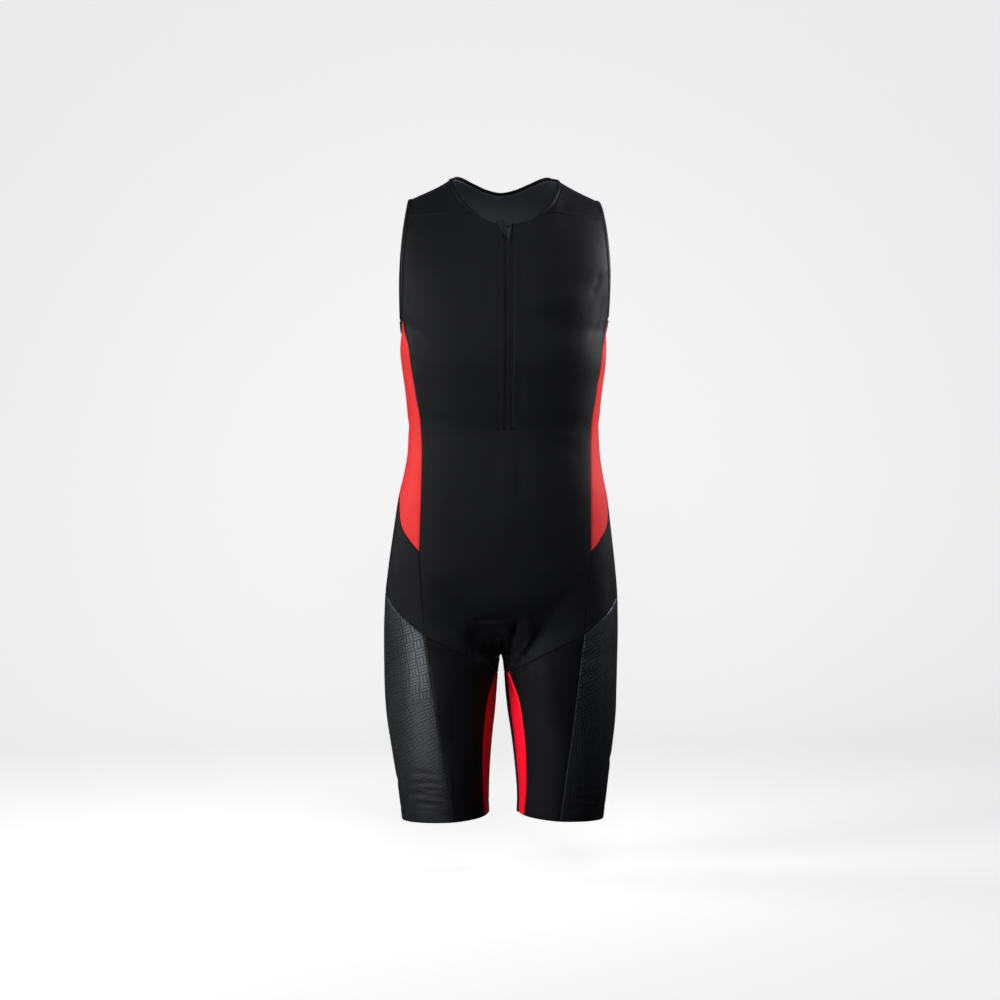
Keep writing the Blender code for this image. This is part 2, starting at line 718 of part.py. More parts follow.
def zip_frame():
    """Matrix of the slider: X across, Y down the zip, Z out of the cloth."""
    centre = leaned(front_face(0.0, SLIDER_Z))
    below = leaned(front_face(0.0, SLIDER_Z - SLIDER_REACH))
    above = leaned(front_face(0.0, SLIDER_Z + SLIDER_REACH))
    down = Vector(below - above).normalized()
    across = Vector((-1.0, 0.0, 0.0))
    out = across.cross(down)
    frame = Matrix((across, down, out)).transposed().to_4x4()
    frame.translation = Vector(centre)
    return frame


def box(name, size, centre):
    """A box object of a size round a centre, for joining and cutting."""
    bm = bmesh.new()
    bmesh.ops.create_cube(bm, size=1.0)
    bmesh.ops.scale(bm, vec=size, verts=bm.verts)
    bmesh.ops.translate(bm, vec=centre, verts=bm.verts)
    mesh = bpy.data.meshes.new(name)
    bm.to_mesh(mesh)
    bm.free()
    made = bpy.data.objects.new(name, mesh)
    made.hide_render = True
    made.display_type = "WIRE"
    cutters.objects.link(made)
    return made


def shape_with(target, other, operation):
    """Join or cut target by another object, both in the same place."""
    other.matrix_world = target.matrix_world
    change = target.modifiers.new(other.name, "BOOLEAN")
    change.operation = operation
    change.object = other


def prism(outline, low, high, axis):
    """A bmesh prism of a flat outline between two distances along X or Z."""
    bm = bmesh.new()
    ends = []
    for level in (low, high):
        if axis == "X":
            ends.append([bm.verts.new((level, a, b)) for a, b in outline])
        else:
            ends.append([bm.verts.new((a, b, level)) for a, b in outline])
    base = bm.faces.new(ends[0])
    bmesh.ops.recalc_face_normals(bm, faces=[base])
    bm.faces.new(ends[1][::-1])
    for i in range(len(outline)):
        follow = (i + 1) % len(outline)
        bm.faces.new([ends[0][i], ends[0][follow], ends[1][follow], ends[1][i]])
    bmesh.ops.recalc_face_normals(bm, faces=bm.faces)
    return bm


def slider_levels():
    """Heights over the cloth of the slider's slot floor, slot roof, top plate and arch top."""
    floor = TAPE_LEVEL - SLIDER_SLOT / 2
    roof = TAPE_LEVEL + SLIDER_SLOT / 2
    return floor, roof, roof + PLATE, roof + PLATE + ARCH_HOLE + ARCH_WALL


def add_slider(frame, finish):
    """The slider: two plates joined by a bridge at the top, with an arch that holds the pull."""
    floor, roof, top, arch = slider_levels()
    end = SLIDER_LENGTH / 2
    bridge = SLIDER_BRIDGE - end
    post = ARCH_HOLE / 2 + ARCH_WALL
    flat = post - ARCH_CHAMFER
    corner = arch - ARCH_CHAMFER
    outline = [(-end, floor - PLATE), (end, floor - PLATE), (end, floor), (bridge, floor), (bridge, roof),
               (end, roof), (end, top), (post, top), (post, corner), (flat, arch), (-flat, arch),
               (-post, corner), (-post, top), (-end, top)]
    slider = add_object("zip_slider", prism(outline, -ARCH_WIDTH / 2, ARCH_WIDTH / 2, "X"), finish)
    slider.matrix_world = frame
    size = (SLIDER_WIDTH, SLIDER_LENGTH - 4 * PLATE_STEP, PLATE - 2 * PLATE_STEP)
    for name, level in (("plate_under", floor - PLATE / 2), ("plate_over", roof + PLATE / 2)):
        shape_with(slider, box(name, size, (0.0, 0.0, level)), "UNION")
    hole = box("arch_hole", (2 * ARCH_WIDTH, ARCH_HOLE, ARCH_HOLE), (0.0, 0.0, top + ARCH_HOLE / 2))
    shape_with(slider, hole, "DIFFERENCE")


def add_pull(frame, finish):
    """The pull tab: a plate that narrows to its tip, hung by its top bar in the slider's arch."""
    top = slider_levels()[2]
    half_bar = PULL_THICKNESS / 2
    wide = PULL_TOP_WIDTH / 2
    tip = PULL_TIP_WIDTH / 2
    end = PULL_LENGTH - half_bar
    foot = tip + PULL_TIP_CORNER[0]
    low = end - PULL_TIP_CORNER[1]
    outline = [(-wide, -half_bar), (wide, -half_bar), (wide, PULL_STRAIGHT), (foot, low), (tip, end),
               (-tip, end), (-foot, low), (-wide, PULL_STRAIGHT)]
    pull = add_object("zip_pull", prism(outline, -half_bar, half_bar, "Z"), finish)
    pull.matrix_world = frame @ Matrix.Translation((0.0, 0.0, top + ARCH_HOLE / 2))
    size = (WINDOW_WIDTH, WINDOW_LENGTH, 4 * PULL_THICKNESS)
    window = box("pull_window", size, (0.0, half_bar + WINDOW_LENGTH / 2, 0.0))
    shape_with(pull, window, "DIFFERENCE")


def pad_point(turn, x):
    """Point of the pad's middle sheet: turn 0 at the front of the rise, 90 under it, 180 behind."""
    angle = math.radians(turn)
    z = RISE_TOP_Z - (RISE_TOP_Z - CROTCH_Z) * math.sin(angle)
    behind = turn > 90.0
    rise = suit_points([1.0 if behind else 0.0], z)[0]
    inset = CLOTH / 2 + PAD_CLEARANCE + PAD_THICKNESS / 2
    half = DENSE[DENSE >= 0.5] if behind else DENSE[DENSE <= 0.5]
    section = suit_points(half, z)
    order = np.argsort(section[:, 0])
    wall = float(np.interp(abs(x), section[order, 0], section[order, 1]))
    edge = min(wall, rise[1]) if behind else max(wall, rise[1])
    away = math.cos(angle)
    curl = PAD_CURL * (x / PAD_HALF_WIDTH) ** 2
    return np.array([x, edge + (inset + curl) * away, z + (inset + curl) * abs(math.sin(angle))])


def add_pad(finish):
    """The crotch pad: one thick sheet inside, from the front of the rise to the seat."""
    grid = []
    for turn in np.linspace(PAD_FRONT_TURN, PAD_BACK_TURN, PAD_STEPS + 1):
        end = (turn - PAD_FRONT_TURN) / (PAD_BACK_TURN - PAD_FRONT_TURN)
        swell = math.sin(math.pi * min(max(end, 0.0), 1.0)) ** PAD_SWELL
        half = PAD_HALF_WIDTH * (PAD_END_SHARE + (1 - PAD_END_SHARE) * swell)
        grid.append([pad_point(turn, x) for x in np.linspace(-half, half, 7)])
    panel("pad", [np.array(grid)], finish, PAD_THICKNESS, 0.0)


for old in list(bpy.data.objects):
    bpy.data.objects.remove(old, do_unlink=True)
suit = bpy.data.collections.new("triathlon_suit")
cutters = bpy.data.collections.new("cutters")
bpy.context.scene.collection.children.link(suit)
bpy.context.scene.collection.children.link(cutters)

front_points = front_grid()
side_points = side_grid()
back_points = back_grid()
over_points = shoulder_grid(front_points, back_points)
add_body(front_points, side_points, back_points, over_points)
add_bindings(side_points, over_points)
add_zip()
metal = material("zip_metal", ZIP_GREY, 0.35, 0.6)
add_slider(zip_frame(), metal)
add_pull(zip_frame(), metal)
add_pad(material("pad_foam", PAD_GREY, 0.8))
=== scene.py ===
"""The looks of a sleeveless triathlon suit with short legs, filled out as if it were worn.

Metres, +Z up, the front faces -Y and the wearer's right is at -X. Every piece repeats the form of
its CAD solid at a finer step, with its folds, seams, stitches and finish added.
"""

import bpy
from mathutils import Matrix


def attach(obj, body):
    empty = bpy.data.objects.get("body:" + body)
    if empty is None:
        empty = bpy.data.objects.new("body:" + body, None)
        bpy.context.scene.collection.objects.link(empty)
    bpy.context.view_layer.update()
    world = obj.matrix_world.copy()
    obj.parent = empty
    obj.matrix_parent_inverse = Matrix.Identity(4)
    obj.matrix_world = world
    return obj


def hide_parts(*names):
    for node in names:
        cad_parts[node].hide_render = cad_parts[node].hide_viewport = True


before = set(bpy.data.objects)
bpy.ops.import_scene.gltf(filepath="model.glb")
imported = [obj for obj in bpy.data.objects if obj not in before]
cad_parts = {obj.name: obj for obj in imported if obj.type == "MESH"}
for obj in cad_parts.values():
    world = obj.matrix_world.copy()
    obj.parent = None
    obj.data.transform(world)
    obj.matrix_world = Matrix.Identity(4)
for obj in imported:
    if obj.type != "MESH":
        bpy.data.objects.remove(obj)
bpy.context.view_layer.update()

import math

import bmesh
import bpy
import mathutils
import numpy as np

# ---------------------------------------------------------------- front
# The front is one piece of black knit from the yoke seam over the chest, belly and rise, slit down
# the middle for the zip. Warp knit of polyamide and elastane, about a millimetre thick, sewn to its
# neighbours with narrow flat seams.

CLOTH = 0.0011
ARMPIT_Z = -0.215
ARMHOLE_X = 0.1525
SHOULDER_TIP_X = 0.1387
ARMHOLE_HALF_RING = 0.155
ARMHOLE_ROUND = 0.09
PANEL_TOP_Z = -0.1975
ZIP_BOTTOM_Z = -0.363
SLIT_HALF = 0.0055
RED_TIP_Z = -0.540
CROTCH_Z = -0.6975
RISE_TOP_Z = -0.600
THIGH_BLEND = (-0.56, -0.76)
CROTCH_EASE = 0.05
CROTCH_REACH = 0.22
STUB_DROP = 0.026
TORSO_POWER = 2.4
SHOULDER_POWER = 2.3
NECK_HALF = 0.0815
NECK_FRONT_Z = -0.063
YOKE_NECK_ANGLE = 34.0
YOKE_ARMHOLE_ANGLE = 57.0
HEM_Z = -0.930
HEM_DROP = 0.012
HEM_FRONT_SHARE = 0.7
TINY = 1e-12

# height, half width, depth in front, depth behind
TORSO = (
    (-0.2150, 0.1525, 0.1130, 0.1120),
    (-0.2415, 0.1544, 0.1140, 0.1090),
    (-0.2655, 0.1520, 0.1130, 0.1050),
    (-0.3015, 0.1470, 0.1080, 0.0980),
    (-0.3300, 0.1440, 0.1040, 0.0920),
    (-0.3630, 0.1423, 0.0990, 0.0880),
    (-0.3990, 0.1440, 0.0990, 0.0900),
    (-0.4290, 0.1490, 0.1000, 0.0930),
    (-0.4590, 0.1555, 0.1010, 0.0990),
    (-0.4950, 0.1605, 0.1015, 0.1070),
    (-0.5295, 0.1650, 0.1010, 0.1150),
    (-0.5655, 0.1695, 0.1000, 0.1180),
    (-0.6000, 0.1730, 0.0990, 0.1195),
    (-0.6400, 0.1748, 0.0980, 0.1180),
    (-0.7050, 0.1748, 0.0960, 0.1120),
    (-0.7500, 0.1740, 0.0940, 0.1060),
    (-0.7875, 0.1716, 0.0920, 0.1000),
    (-0.8355, 0.1652, 0.0900, 0.0950),
    (-0.8835, 0.1583, 0.0880, 0.0900),
    (-0.9450, 0.1505, 0.0860, 0.0850),
)
# height, inner edge from the middle, centre behind the middle, half depth, start of the ring in degrees
LEG = (
    (-0.5600, 0.0000, 0.0120, 0.1030, 0.0),
    (-0.6975, 0.0000, 0.0100, 0.1000, 0.0),
    (-0.7050, 0.0025, 0.0100, 0.0995, 5.0),
    (-0.7200, 0.0045, 0.0095, 0.0985, 11.0),
    (-0.7500, 0.0073, 0.0090, 0.0960, 14.0),
    (-0.7800, 0.0102, 0.0080, 0.0925, 14.0),
    (-0.8100, 0.0142, 0.0065, 0.0885, 13.0),
    (-0.8400, 0.0175, 0.0055, 0.0845, 12.0),
    (-0.8700, 0.0200, 0.0048, 0.0800, 12.0),
    (-0.9000, 0.0216, 0.0042, 0.0758, 12.0),
    (-0.9450, 0.0210, 0.0040, 0.0700, 12.0),
)
# distance from the middle, height of the shoulder line
RIDGE = (
    (-0.060, 0.0290),
    (0.000, 0.0350),
    (0.060, 0.0290),
    (0.0735, 0.0215),
    (0.0795, 0.0150),
    (0.0855, 0.0105),
    (0.0945, 0.0050),
    (0.1095, -0.0030),
    (0.1290, -0.0120),
    (0.1440, -0.0185),
    (0.1700, -0.0280),
)
# distance from the middle, height of the back neck edge
BACK_NECK = (
    (-0.0225, 0.0035),
    (0.0000, -0.0005),
    (0.0225, 0.0035),
    (0.0450, 0.0120),
    (0.0615, 0.0180),
    (0.0720, 0.0185),
    (0.0815, 0.0135),
)
# height, distance from the middle of the front seam
FRONT_SEAM = (
    (-0.1975, 0.1525),
    (-0.2655, 0.1412),
    (-0.3150, 0.1331),
    (-0.3420, 0.1280),
    (-0.3750, 0.1255),
    (-0.4230, 0.1252),
    (-0.4710, 0.1257),
    (-0.5070, 0.1264),
    (-0.5400, 0.1268),
    (-0.5850, 0.1235),
    (-0.6255, 0.1200),
    (-0.6690, 0.1165),
    (-0.7050, 0.1113),
    (-0.7500, 0.1055),
    (-0.8025, 0.0985),
    (-0.8715, 0.0878),
    (-0.9195, 0.0813),
    (-0.9465, 0.0776),
)
# height, front edge of the inner leg panel in degrees round the leg
INNER_SEAM = (
    (-0.6975, 16.0),
    (-0.7245, 22.0),
    (-0.7575, 34.0),
    (-0.8000, 37.0),
    (-0.8475, 36.0),
    (-0.8955, 32.0),
    (-0.9450, 26.0),
)
# share of the way from the inseam to the front seam, height of the seam below the front
FRONT_LOWER = (
    (0.0, -0.7235),
    (0.264, -0.7220),
    (0.537, -0.7120),
    (0.738, -0.6885),
    (0.873, -0.6755),
    (1.0, -0.6640),
)
# height, sideways lean of the whole suit
LEAN = (
    (-0.40, 0.0),
    (-0.50, -0.0017),
    (-0.62, -0.0033),
    (-0.75, -0.0034),
    (-0.84, -0.0020),
    (-0.90, -0.0008),
)
# A fold ends its reach at this many half widths, and rises from its ends over 1 / FOLD_EASE of its
# length. The front's folds are placed as they are seen from the eye.
FOLD_REACH = 3.5
FOLD_EASE = 3.2
FOLD_POINTS = 12
EYE = (-0.244, -3.49, -0.465)
SEAM_DIP = 0.0008
SEAM_DIP_WIDTH = 0.0013
WELD = 0.00002
# step of the cloth's grids, and the distances of the close rows beside a seam
STEP = 0.0045
SEAM_STEPS = (0.0004, 0.0009, 0.0015, 0.0023, 0.0033)
SEAM_SPARE = 1.25
SEAM_STITCH = 4
HEM_TURN = 0.018
HEM_ROUND = 0.0012
HEM_DIP = 0.0005
HEM_DIP_WIDTH = 0.0030
HEM_TURN_STEPS = 6
HEM_RUN_STEPS = 5
HEM_ROW_GAP = 0.002
# The front's columns are numbered from 0 in the middle to 8 at the side seam. On the legs the seam
# of the inner panel is column 3.
INNER_COLUMNS = 3.0
FRONT_COLUMNS = 8.0

# Folds of the front, each from one point to another, as distances from the middle and heights.
# x, z, x, z, bow to the right of the way, half width, rise (trough if less than 0)
FRONT_FOLDS = (
    # drag lines from the armholes over the chest
    (-0.146, -0.150, -0.118, -0.196, 0.003, 0.0060, -0.0012),
    (-0.148, -0.186, -0.112, -0.240, 0.004, 0.0080, -0.0016),
    (-0.150, -0.214, -0.128, -0.272, 0.002, 0.0055, -0.0012),
    (0.147, -0.122, 0.128, -0.160, -0.003, 0.0060, -0.0014),
    (0.149, -0.150, 0.126, -0.232, -0.005, 0.0080, -0.0015),
    (0.152, -0.176, 0.138, -0.250, -0.004, 0.0060, 0.0006),
    # a broad soft swell over the wearer's left breast, and the dip under it
    (0.030, -0.164, 0.136, -0.170, -0.004, 0.0200, 0.0021),
    (0.014, -0.190, 0.104, -0.206, -0.004, 0.0180, -0.0014),
    # soft hollows beside the zip
    (-0.016, -0.095, -0.022, -0.205, 0.002, 0.0085, -0.0008),
    (0.024, -0.085, 0.032, -0.190, -0.002, 0.0090, -0.0010),
    (-0.010, -0.235, -0.008, -0.345, 0.001, 0.0080, -0.0007),
    (0.025, -0.255, 0.022, -0.350, -0.001, 0.0080, -0.0008),
    # crease beside the zip on the wearer's left
    (0.0168, -0.0300, 0.0150, -0.1900, 0.0006, 0.0011, -0.0009),
    (0.0162, -0.1000, 0.0134, -0.2800, -0.0004, 0.0011, -0.0007),
    (0.0150, -0.1850, 0.0124, -0.3750, 0.0003, 0.0011, -0.0008),
    # waist
    (-0.128, -0.332, -0.074, -0.348, 0.006, 0.0100, -0.0010),
    (-0.124, -0.378, -0.060, -0.370, -0.004, 0.0120, -0.0009),
    (0.130, -0.342, 0.082, -0.360, -0.005, 0.0110, -0.0011),
    (0.126, -0.398, 0.068, -0.386, 0.004, 0.0110, -0.0009),
    # belly, below the zip
    (-0.004, -0.372, -0.020, -0.500, 0.004, 0.0100, -0.0008),
    (0.018, -0.372, 0.026, -0.470, -0.004, 0.0100, -0.0009),
    (0.006, -0.380, 0.010, -0.560, 0.002, 0.0140, 0.0010),
    (-0.070, -0.440, -0.058, -0.560, 0.006, 0.0140, -0.0011),
    (0.072, -0.450, 0.080, -0.575, -0.006, 0.0150, -0.0012),
    # lower belly to the rise
    (-0.098, -0.585, -0.054, -0.640, 0.006, 0.0090, -0.0013),
    (-0.108, -0.632, -0.064, -0.668, 0.004, 0.0080, -0.0013),
    (0.106, -0.592, 0.066, -0.636, -0.006, 0.0090, -0.0012),
    (0.112, -0.646, 0.072, -0.668, -0.003, 0.0070, -0.0010),
    # the pad showing through: its stitched rim, and the step down inside it
    (-0.0513, -0.6476, -0.0150, -0.6366, -0.0026, 0.0013, 0.0011),
    (-0.0530, -0.6505, -0.0165, -0.6395, -0.0026, 0.0013, -0.0009),
    (-0.0180, -0.6362, 0.0260, -0.6352, -0.0010, 0.0015, -0.0010),
    (0.0230, -0.6345, 0.0535, -0.6640, -0.0055, 0.0016, -0.0013),
    (0.0530, -0.6610, 0.0420, -0.6880, -0.0030, 0.0018, -0.0010),
    (-0.0500, -0.6520, 0.0230, -0.6480, -0.0040, 0.0066, -0.0046),
    (-0.0470, -0.6680, 0.0160, -0.6640, -0.0020, 0.0100, -0.0040),
    (-0.0400, -0.6500, -0.0360, -0.7120, 0.0020, 0.0115, -0.0070),
    (-0.0240, -0.6500, -0.0210, -0.7080, 0.0000, 0.0130, -0.0070),
    (-0.0060, -0.6500, -0.0010, -0.7060, 0.0000, 0.0130, -0.0080),
    # the roll of cloth on the left of the crotch, the hollow within it and the creases under it
    (0.0300, -0.6310, 0.0050, -0.7120, -0.0240, 0.0068, 0.0076),
    (0.0210, -0.6420, 0.0040, -0.7010, -0.0060, 0.0062, -0.0104),
    (0.0100, -0.6680, 0.0115, -0.6920, 0.0000, 0.0016, -0.0018),
    (0.0470, -0.6840, 0.0060, -0.7150, -0.0060, 0.0017, -0.0022),
    (0.0420, -0.6960, 0.0080, -0.7190, -0.0050, 0.0030, 0.0012),
    # level puckers over the hems, at the front edge of the thigh pieces
    (-0.1220, -0.8715, -0.0900, -0.8760, 0.0030, 0.0034, -0.0017),
    (-0.1160, -0.8850, -0.0880, -0.8870, 0.0036, 0.0032, -0.0020),
    (-0.1230, -0.8960, -0.0930, -0.8990, 0.0024, 0.0034, -0.0022),
    (-0.1120, -0.9080, -0.0840, -0.9075, 0.0030, 0.0030, -0.0018),
    (-0.1260, -0.9190, -0.0960, -0.9205, 0.0016, 0.0032, -0.0014),
    (0.0960, -0.9120, 0.1330, -0.9105, 0.0024, 0.0032, -0.0018),
    (0.1000, -0.9240, 0.1280, -0.9250, 0.0016, 0.0030, -0.0016),
    (0.1060, -0.8900, 0.1300, -0.8890, 0.0020, 0.0036, -0.0010),
    (0.1180, -0.7020, 0.1420, -0.6980, 0.0020, 0.0050, -0.0012),
    (0.1160, -0.7300, 0.1440, -0.7270, 0.0020, 0.0050, -0.0010),
)

# Folds of the sides and the back, from one ring position and height to another.
# ring, height, ring, height, bow upwards, half width, rise, side
ROUND_FOLDS = (
    # the hollow under an armhole, drag over the ribs, and the bend of the waist
    (0.160, -0.236, 0.600, -0.246, 0.000, 0.0140, -0.0014, 1),
    (0.430, -0.262, 0.330, -0.316, 0.006, 0.0070, -0.0011, 1),
    (0.450, -0.240, 0.350, -0.322, 0.004, 0.0060, -0.0010, -1),
    (0.560, -0.236, 0.660, -0.300, 0.005, 0.0070, -0.0016, 1),
    (0.565, -0.244, 0.680, -0.286, 0.008, 0.0080, -0.0014, -1),
    (0.420, -0.345, 0.560, -0.352, -0.006, 0.0080, -0.0013, 1),
    (0.440, -0.372, 0.540, -0.366, 0.004, 0.0060, -0.0010, 1),
    (0.430, -0.356, 0.570, -0.344, -0.005, 0.0085, -0.0014, -1),
    # across the small of the back
    (0.620, -0.335, 0.860, -0.352, -0.010, 0.0110, -0.0024, 1),
    (0.660, -0.368, 0.960, -0.380, -0.008, 0.0130, -0.0026, 1),
    (0.600, -0.392, 0.780, -0.410, -0.006, 0.0090, -0.0016, 1),
    (0.610, -0.328, 0.800, -0.346, -0.008, 0.0100, -0.0020, -1),
    (0.640, -0.374, 0.920, -0.366, -0.012, 0.0120, -0.0026, -1),
    (0.700, -0.404, 0.840, -0.400, 0.005, 0.0080, -0.0015, -1),
    (0.880, -0.300, 0.990, -0.318, 0.004, 0.0110, -0.0014, 1),
    # upper back, from the armholes inwards
    (0.640, -0.205, 0.800, -0.262, 0.010, 0.0100, -0.0014, 1),
    (0.650, -0.226, 0.780, -0.290, 0.006, 0.0080, -0.0012, -1),
    # seat: drag lines to the rise and under each cheek
    (0.720, -0.560, 0.900, -0.640, 0.010, 0.0120, -0.0018, 1),
    (0.700, -0.590, 0.880, -0.655, 0.008, 0.0110, -0.0016, -1),
    (0.680, -0.672, 0.900, -0.716, -0.010, 0.0075, -0.0026, 1),
    (0.690, -0.684, 0.910, -0.712, -0.012, 0.0080, -0.0024, -1),
    (0.730, -0.648, 0.860, -0.676, -0.006, 0.0060, -0.0014, -1),
    (0.975, -0.520, 0.990, -0.650, 0.000, 0.0080, -0.0016, 1),
    # hips
    (0.330, -0.560, 0.400, -0.640, 0.006, 0.0090, -0.0012, 1),
    (0.320, -0.566, 0.390, -0.628, 0.004, 0.0080, -0.0012, -1),
    (0.520, -0.560, 0.600, -0.598, 0.006, 0.0080, -0.0012, 1),
    (0.500, -0.572, 0.610, -0.590, 0.005, 0.0070, -0.0010, -1),
    # thighs: short level puckers over the hem, and long soft hollows
    (0.262, -0.866, 0.372, -0.872, 0.003, 0.0042, -0.0014, -1),
    (0.252, -0.882, 0.352, -0.886, 0.002, 0.0036, -0.0013, -1),
    (0.270, -0.898, 0.390, -0.902, 0.003, 0.0040, -0.0014, -1),
    (0.258, -0.912, 0.340, -0.915, 0.002, 0.0032, -0.0010, -1),
    (0.250, -0.893, 0.352, -0.900, 0.003, 0.0040, -0.0014, 1),
    (0.272, -0.909, 0.380, -0.913, 0.002, 0.0034, -0.0012, 1),
    (0.400, -0.852, 0.500, -0.862, 0.004, 0.0060, -0.0012, 1),
    (0.420, -0.884, 0.540, -0.890, 0.003, 0.0050, -0.0012, -1),
    (0.420, -0.660, 0.440, -0.780, 0.000, 0.0130, -0.0012, 1),
    (0.430, -0.680, 0.410, -0.800, 0.000, 0.0120, -0.0012, -1),
    # behind the knees' side of the legs
    (0.700, -0.780, 0.860, -0.800, -0.008, 0.0090, -0.0018, 1),
    (0.670, -0.836, 0.820, -0.846, -0.005, 0.0070, -0.0016, 1),
    (0.740, -0.884, 0.880, -0.892, -0.003, 0.0050, -0.0014, 1),
    (0.690, -0.770, 0.850, -0.802, -0.006, 0.0090, -0.0018, -1),
    (0.720, -0.852, 0.890, -0.848, -0.006, 0.0070, -0.0016, -1),
    (0.680, -0.896, 0.800, -0.902, 0.003, 0.0050, -0.0012, -1),
)


def column(table, key, index=1):
    """A table column at key: a cubic through the rows, its slope there the mean over the neighbours."""
    rows = np.array(sorted(table))
    x = rows[:, 0]
    y = rows[:, index]
    slopes = np.gradient(y, x)
    key = np.clip(key, x[0], x[-1])
    i = np.clip(np.searchsorted(x, key) - 1, 0, len(x) - 2)
    span = x[i + 1] - x[i]
    u = (key - x[i]) / span
    rise = y[i + 1] - y[i]
    ends = (1 - u) * slopes[i] - u * slopes[i + 1]
    return y[i] + u * u * (3 - 2 * u) * rise + span * u * (1 - u) * ends


def smooth(value):
    """3 v squared less 2 v cubed, with v kept between 0 and 1: an ease with level ends."""
    value = np.clip(value, 0.0, 1.0)
    return value * value * (3.0 - 2.0 * value)


def leg_share(t):
    """Share of the way round the leg: near squared over near plus the ease, mirrored past the side."""
    near = np.minimum(t, 1.0 - t)
    share = 0.5 * (near ** 2 / (near + CROTCH_EASE)) / (0.25 / (0.5 + CROTCH_EASE))
    return np.where(t <= 0.5, share, 1.0 - share)


def ring_of_share(share):
    """Ring position at a share round the leg: the root of the same quadratic."""
    scaled = share * 2.0 * 0.25 / (0.5 + CROTCH_EASE)
    return (scaled + np.sqrt(scaled * scaled + 4.0 * scaled * CROTCH_EASE)) / 2.0


def torso_half_width(z):
    """Half width from the table; over the armpit, the width whose section passes the armhole's edge."""
    over = np.clip((z - ARMPIT_Z) / ARMHOLE_ROUND, 0.0, 1.0)
    ring = 0.5 - ARMHOLE_HALF_RING * np.sqrt(over)
    armhole = ARMHOLE_X / np.sin(np.pi * ring) ** (2 / TORSO_POWER)
    return np.where(z <= ARMPIT_Z, column(TORSO, z, 1), armhole)


def shoulder_fall(x, z):
    """Share of the chest's depth left at height z: a superellipse from the armpit to the shoulder line."""
    height = (z - ARMPIT_Z) / (column(RIDGE, np.abs(x)) - ARMPIT_Z)
    return (1.0 - np.clip(height, 0.0, 1.0) ** SHOULDER_POWER) ** (1 / SHOULDER_POWER)


def form(t, z):
    """Points of the worn form. t is 0 at the middle front, 0.5 at the side, 1 at the middle back.

    The torso's section is a superellipse and the leg's an ellipse. They mix by height: over a
    circular rise near the middle, and by an ease at the side.
    """
    t, z = np.broadcast_arrays(np.asarray(t, float), np.asarray(z, float))
    width = torso_half_width(z)
    power = 2 / TORSO_POWER
    torso_x = width * np.abs(np.sin(np.pi * t)) ** power
    depth = np.abs(np.cos(np.pi * t)) ** power
    side = np.where(t < 0.5, -column(TORSO, z, 2), column(TORSO, z, 3))
    torso_y = side * depth * shoulder_fall(torso_x, z)
    low = z < CROTCH_Z
    inner = np.where(low, column(LEG, z, 1), 0.0)
    start = np.radians(np.where(low, column(LEG, z, 4), 0.0))
    angle = start + 2 * np.pi * leg_share(t)
    leg_x = inner + (width - inner) / 2 * (1 - np.cos(angle))
    leg_y = column(LEG, z, 2) - column(LEG, z, 3) * np.sin(angle)
    near = 1.0 - smooth(np.minimum(t, 1.0 - t) / CROTCH_REACH)
    reach = np.clip((RISE_TOP_Z - z) / (RISE_TOP_Z - CROTCH_Z), 0.0, 1.0)
    rise = 1.0 - np.sqrt(1.0 - reach * reach)
    thigh = smooth((THIGH_BLEND[0] - z) / (THIGH_BLEND[0] - THIGH_BLEND[1]))
    share = near * rise + (1.0 - near) * thigh
    x = torso_x * (1 - share) + leg_x * share
    y = torso_y * (1 - share) + leg_y * share
    return np.stack([x, y, z], axis=-1)


def shoulder(x, angle):
    """Points over the shoulder: angle 0 in front to 180 behind, on a superellipse up to the ridge."""
    x, turn = np.broadcast_arrays(np.asarray(x, float), np.radians(np.asarray(angle, float)))
    power = 2 / SHOULDER_POWER
    z = ARMPIT_Z + (column(RIDGE, x) - ARMPIT_Z) * np.abs(np.sin(turn)) ** power
    inside = np.minimum(x / torso_half_width(z), 1.0)
    depth = (1.0 - inside ** TORSO_POWER) ** (1 / TORSO_POWER)
    side = np.where(np.cos(turn) > 0, -TORSO[0][2], TORSO[0][3])
    return np.stack([x, side * depth * np.abs(np.cos(turn)) ** power, z], axis=-1)


HALVINGS = 24


def ring_at_x(x, z):
    """Ring position in front where the form is x from the middle, by halving the interval."""
    x, z = np.broadcast_arrays(np.asarray(x, float), np.asarray(z, float))
    low = np.zeros_like(x)
    high = np.full_like(x, 0.5)
    for _ in range(HALVINGS):
        middle = (low + high) / 2
        short = form(middle, z)[..., 0] < x
        low = np.where(short, middle, low)
        high = np.where(short, high, middle)
    return (low + high) / 2


def shoulder_angle(x, z, behind=False):
    """Angle over the shoulder at height z: the arc sine of the height's share to the half power."""
    height = np.clip((z - ARMPIT_Z) / (column(RIDGE, x) - ARMPIT_Z), 0.0, 1.0)
    angle = np.degrees(np.arcsin(height ** (SHOULDER_POWER / 2)))
    return 180.0 - angle if behind else angle


def front_seam(z):
    """Ring position of the seam down the side of the front."""
    return ring_at_x(column(FRONT_SEAM, z), z)


def inner_seam(z):
    """Ring position of the inner leg panel's front edge."""
    return ring_of_share((column(INNER_SEAM, z) - column(LEG, z, 4)) / 360.0)


def hem_height(share):
    """Height of the hem, which drops evenly from the inseam to the outside of the leg."""
    return HEM_Z - HEM_DROP * share


def steps(length, first=False, last=False):
    """Shares along a length at the cloth's step, with close steps added at the ends that are seams."""
    shares = np.linspace(0.0, 1.0, max(int(round(length / STEP)), 2) + 1)
    close = np.array(SEAM_STEPS) / length
    if first:
        shares = np.union1d(shares[(shares == 0) | (shares > close[-1] * SEAM_SPARE)], close)
    if last:
        shares = np.union1d(shares[(shares == 1) | (shares < 1 - close[-1] * SEAM_SPARE)], 1 - close)
    return shares


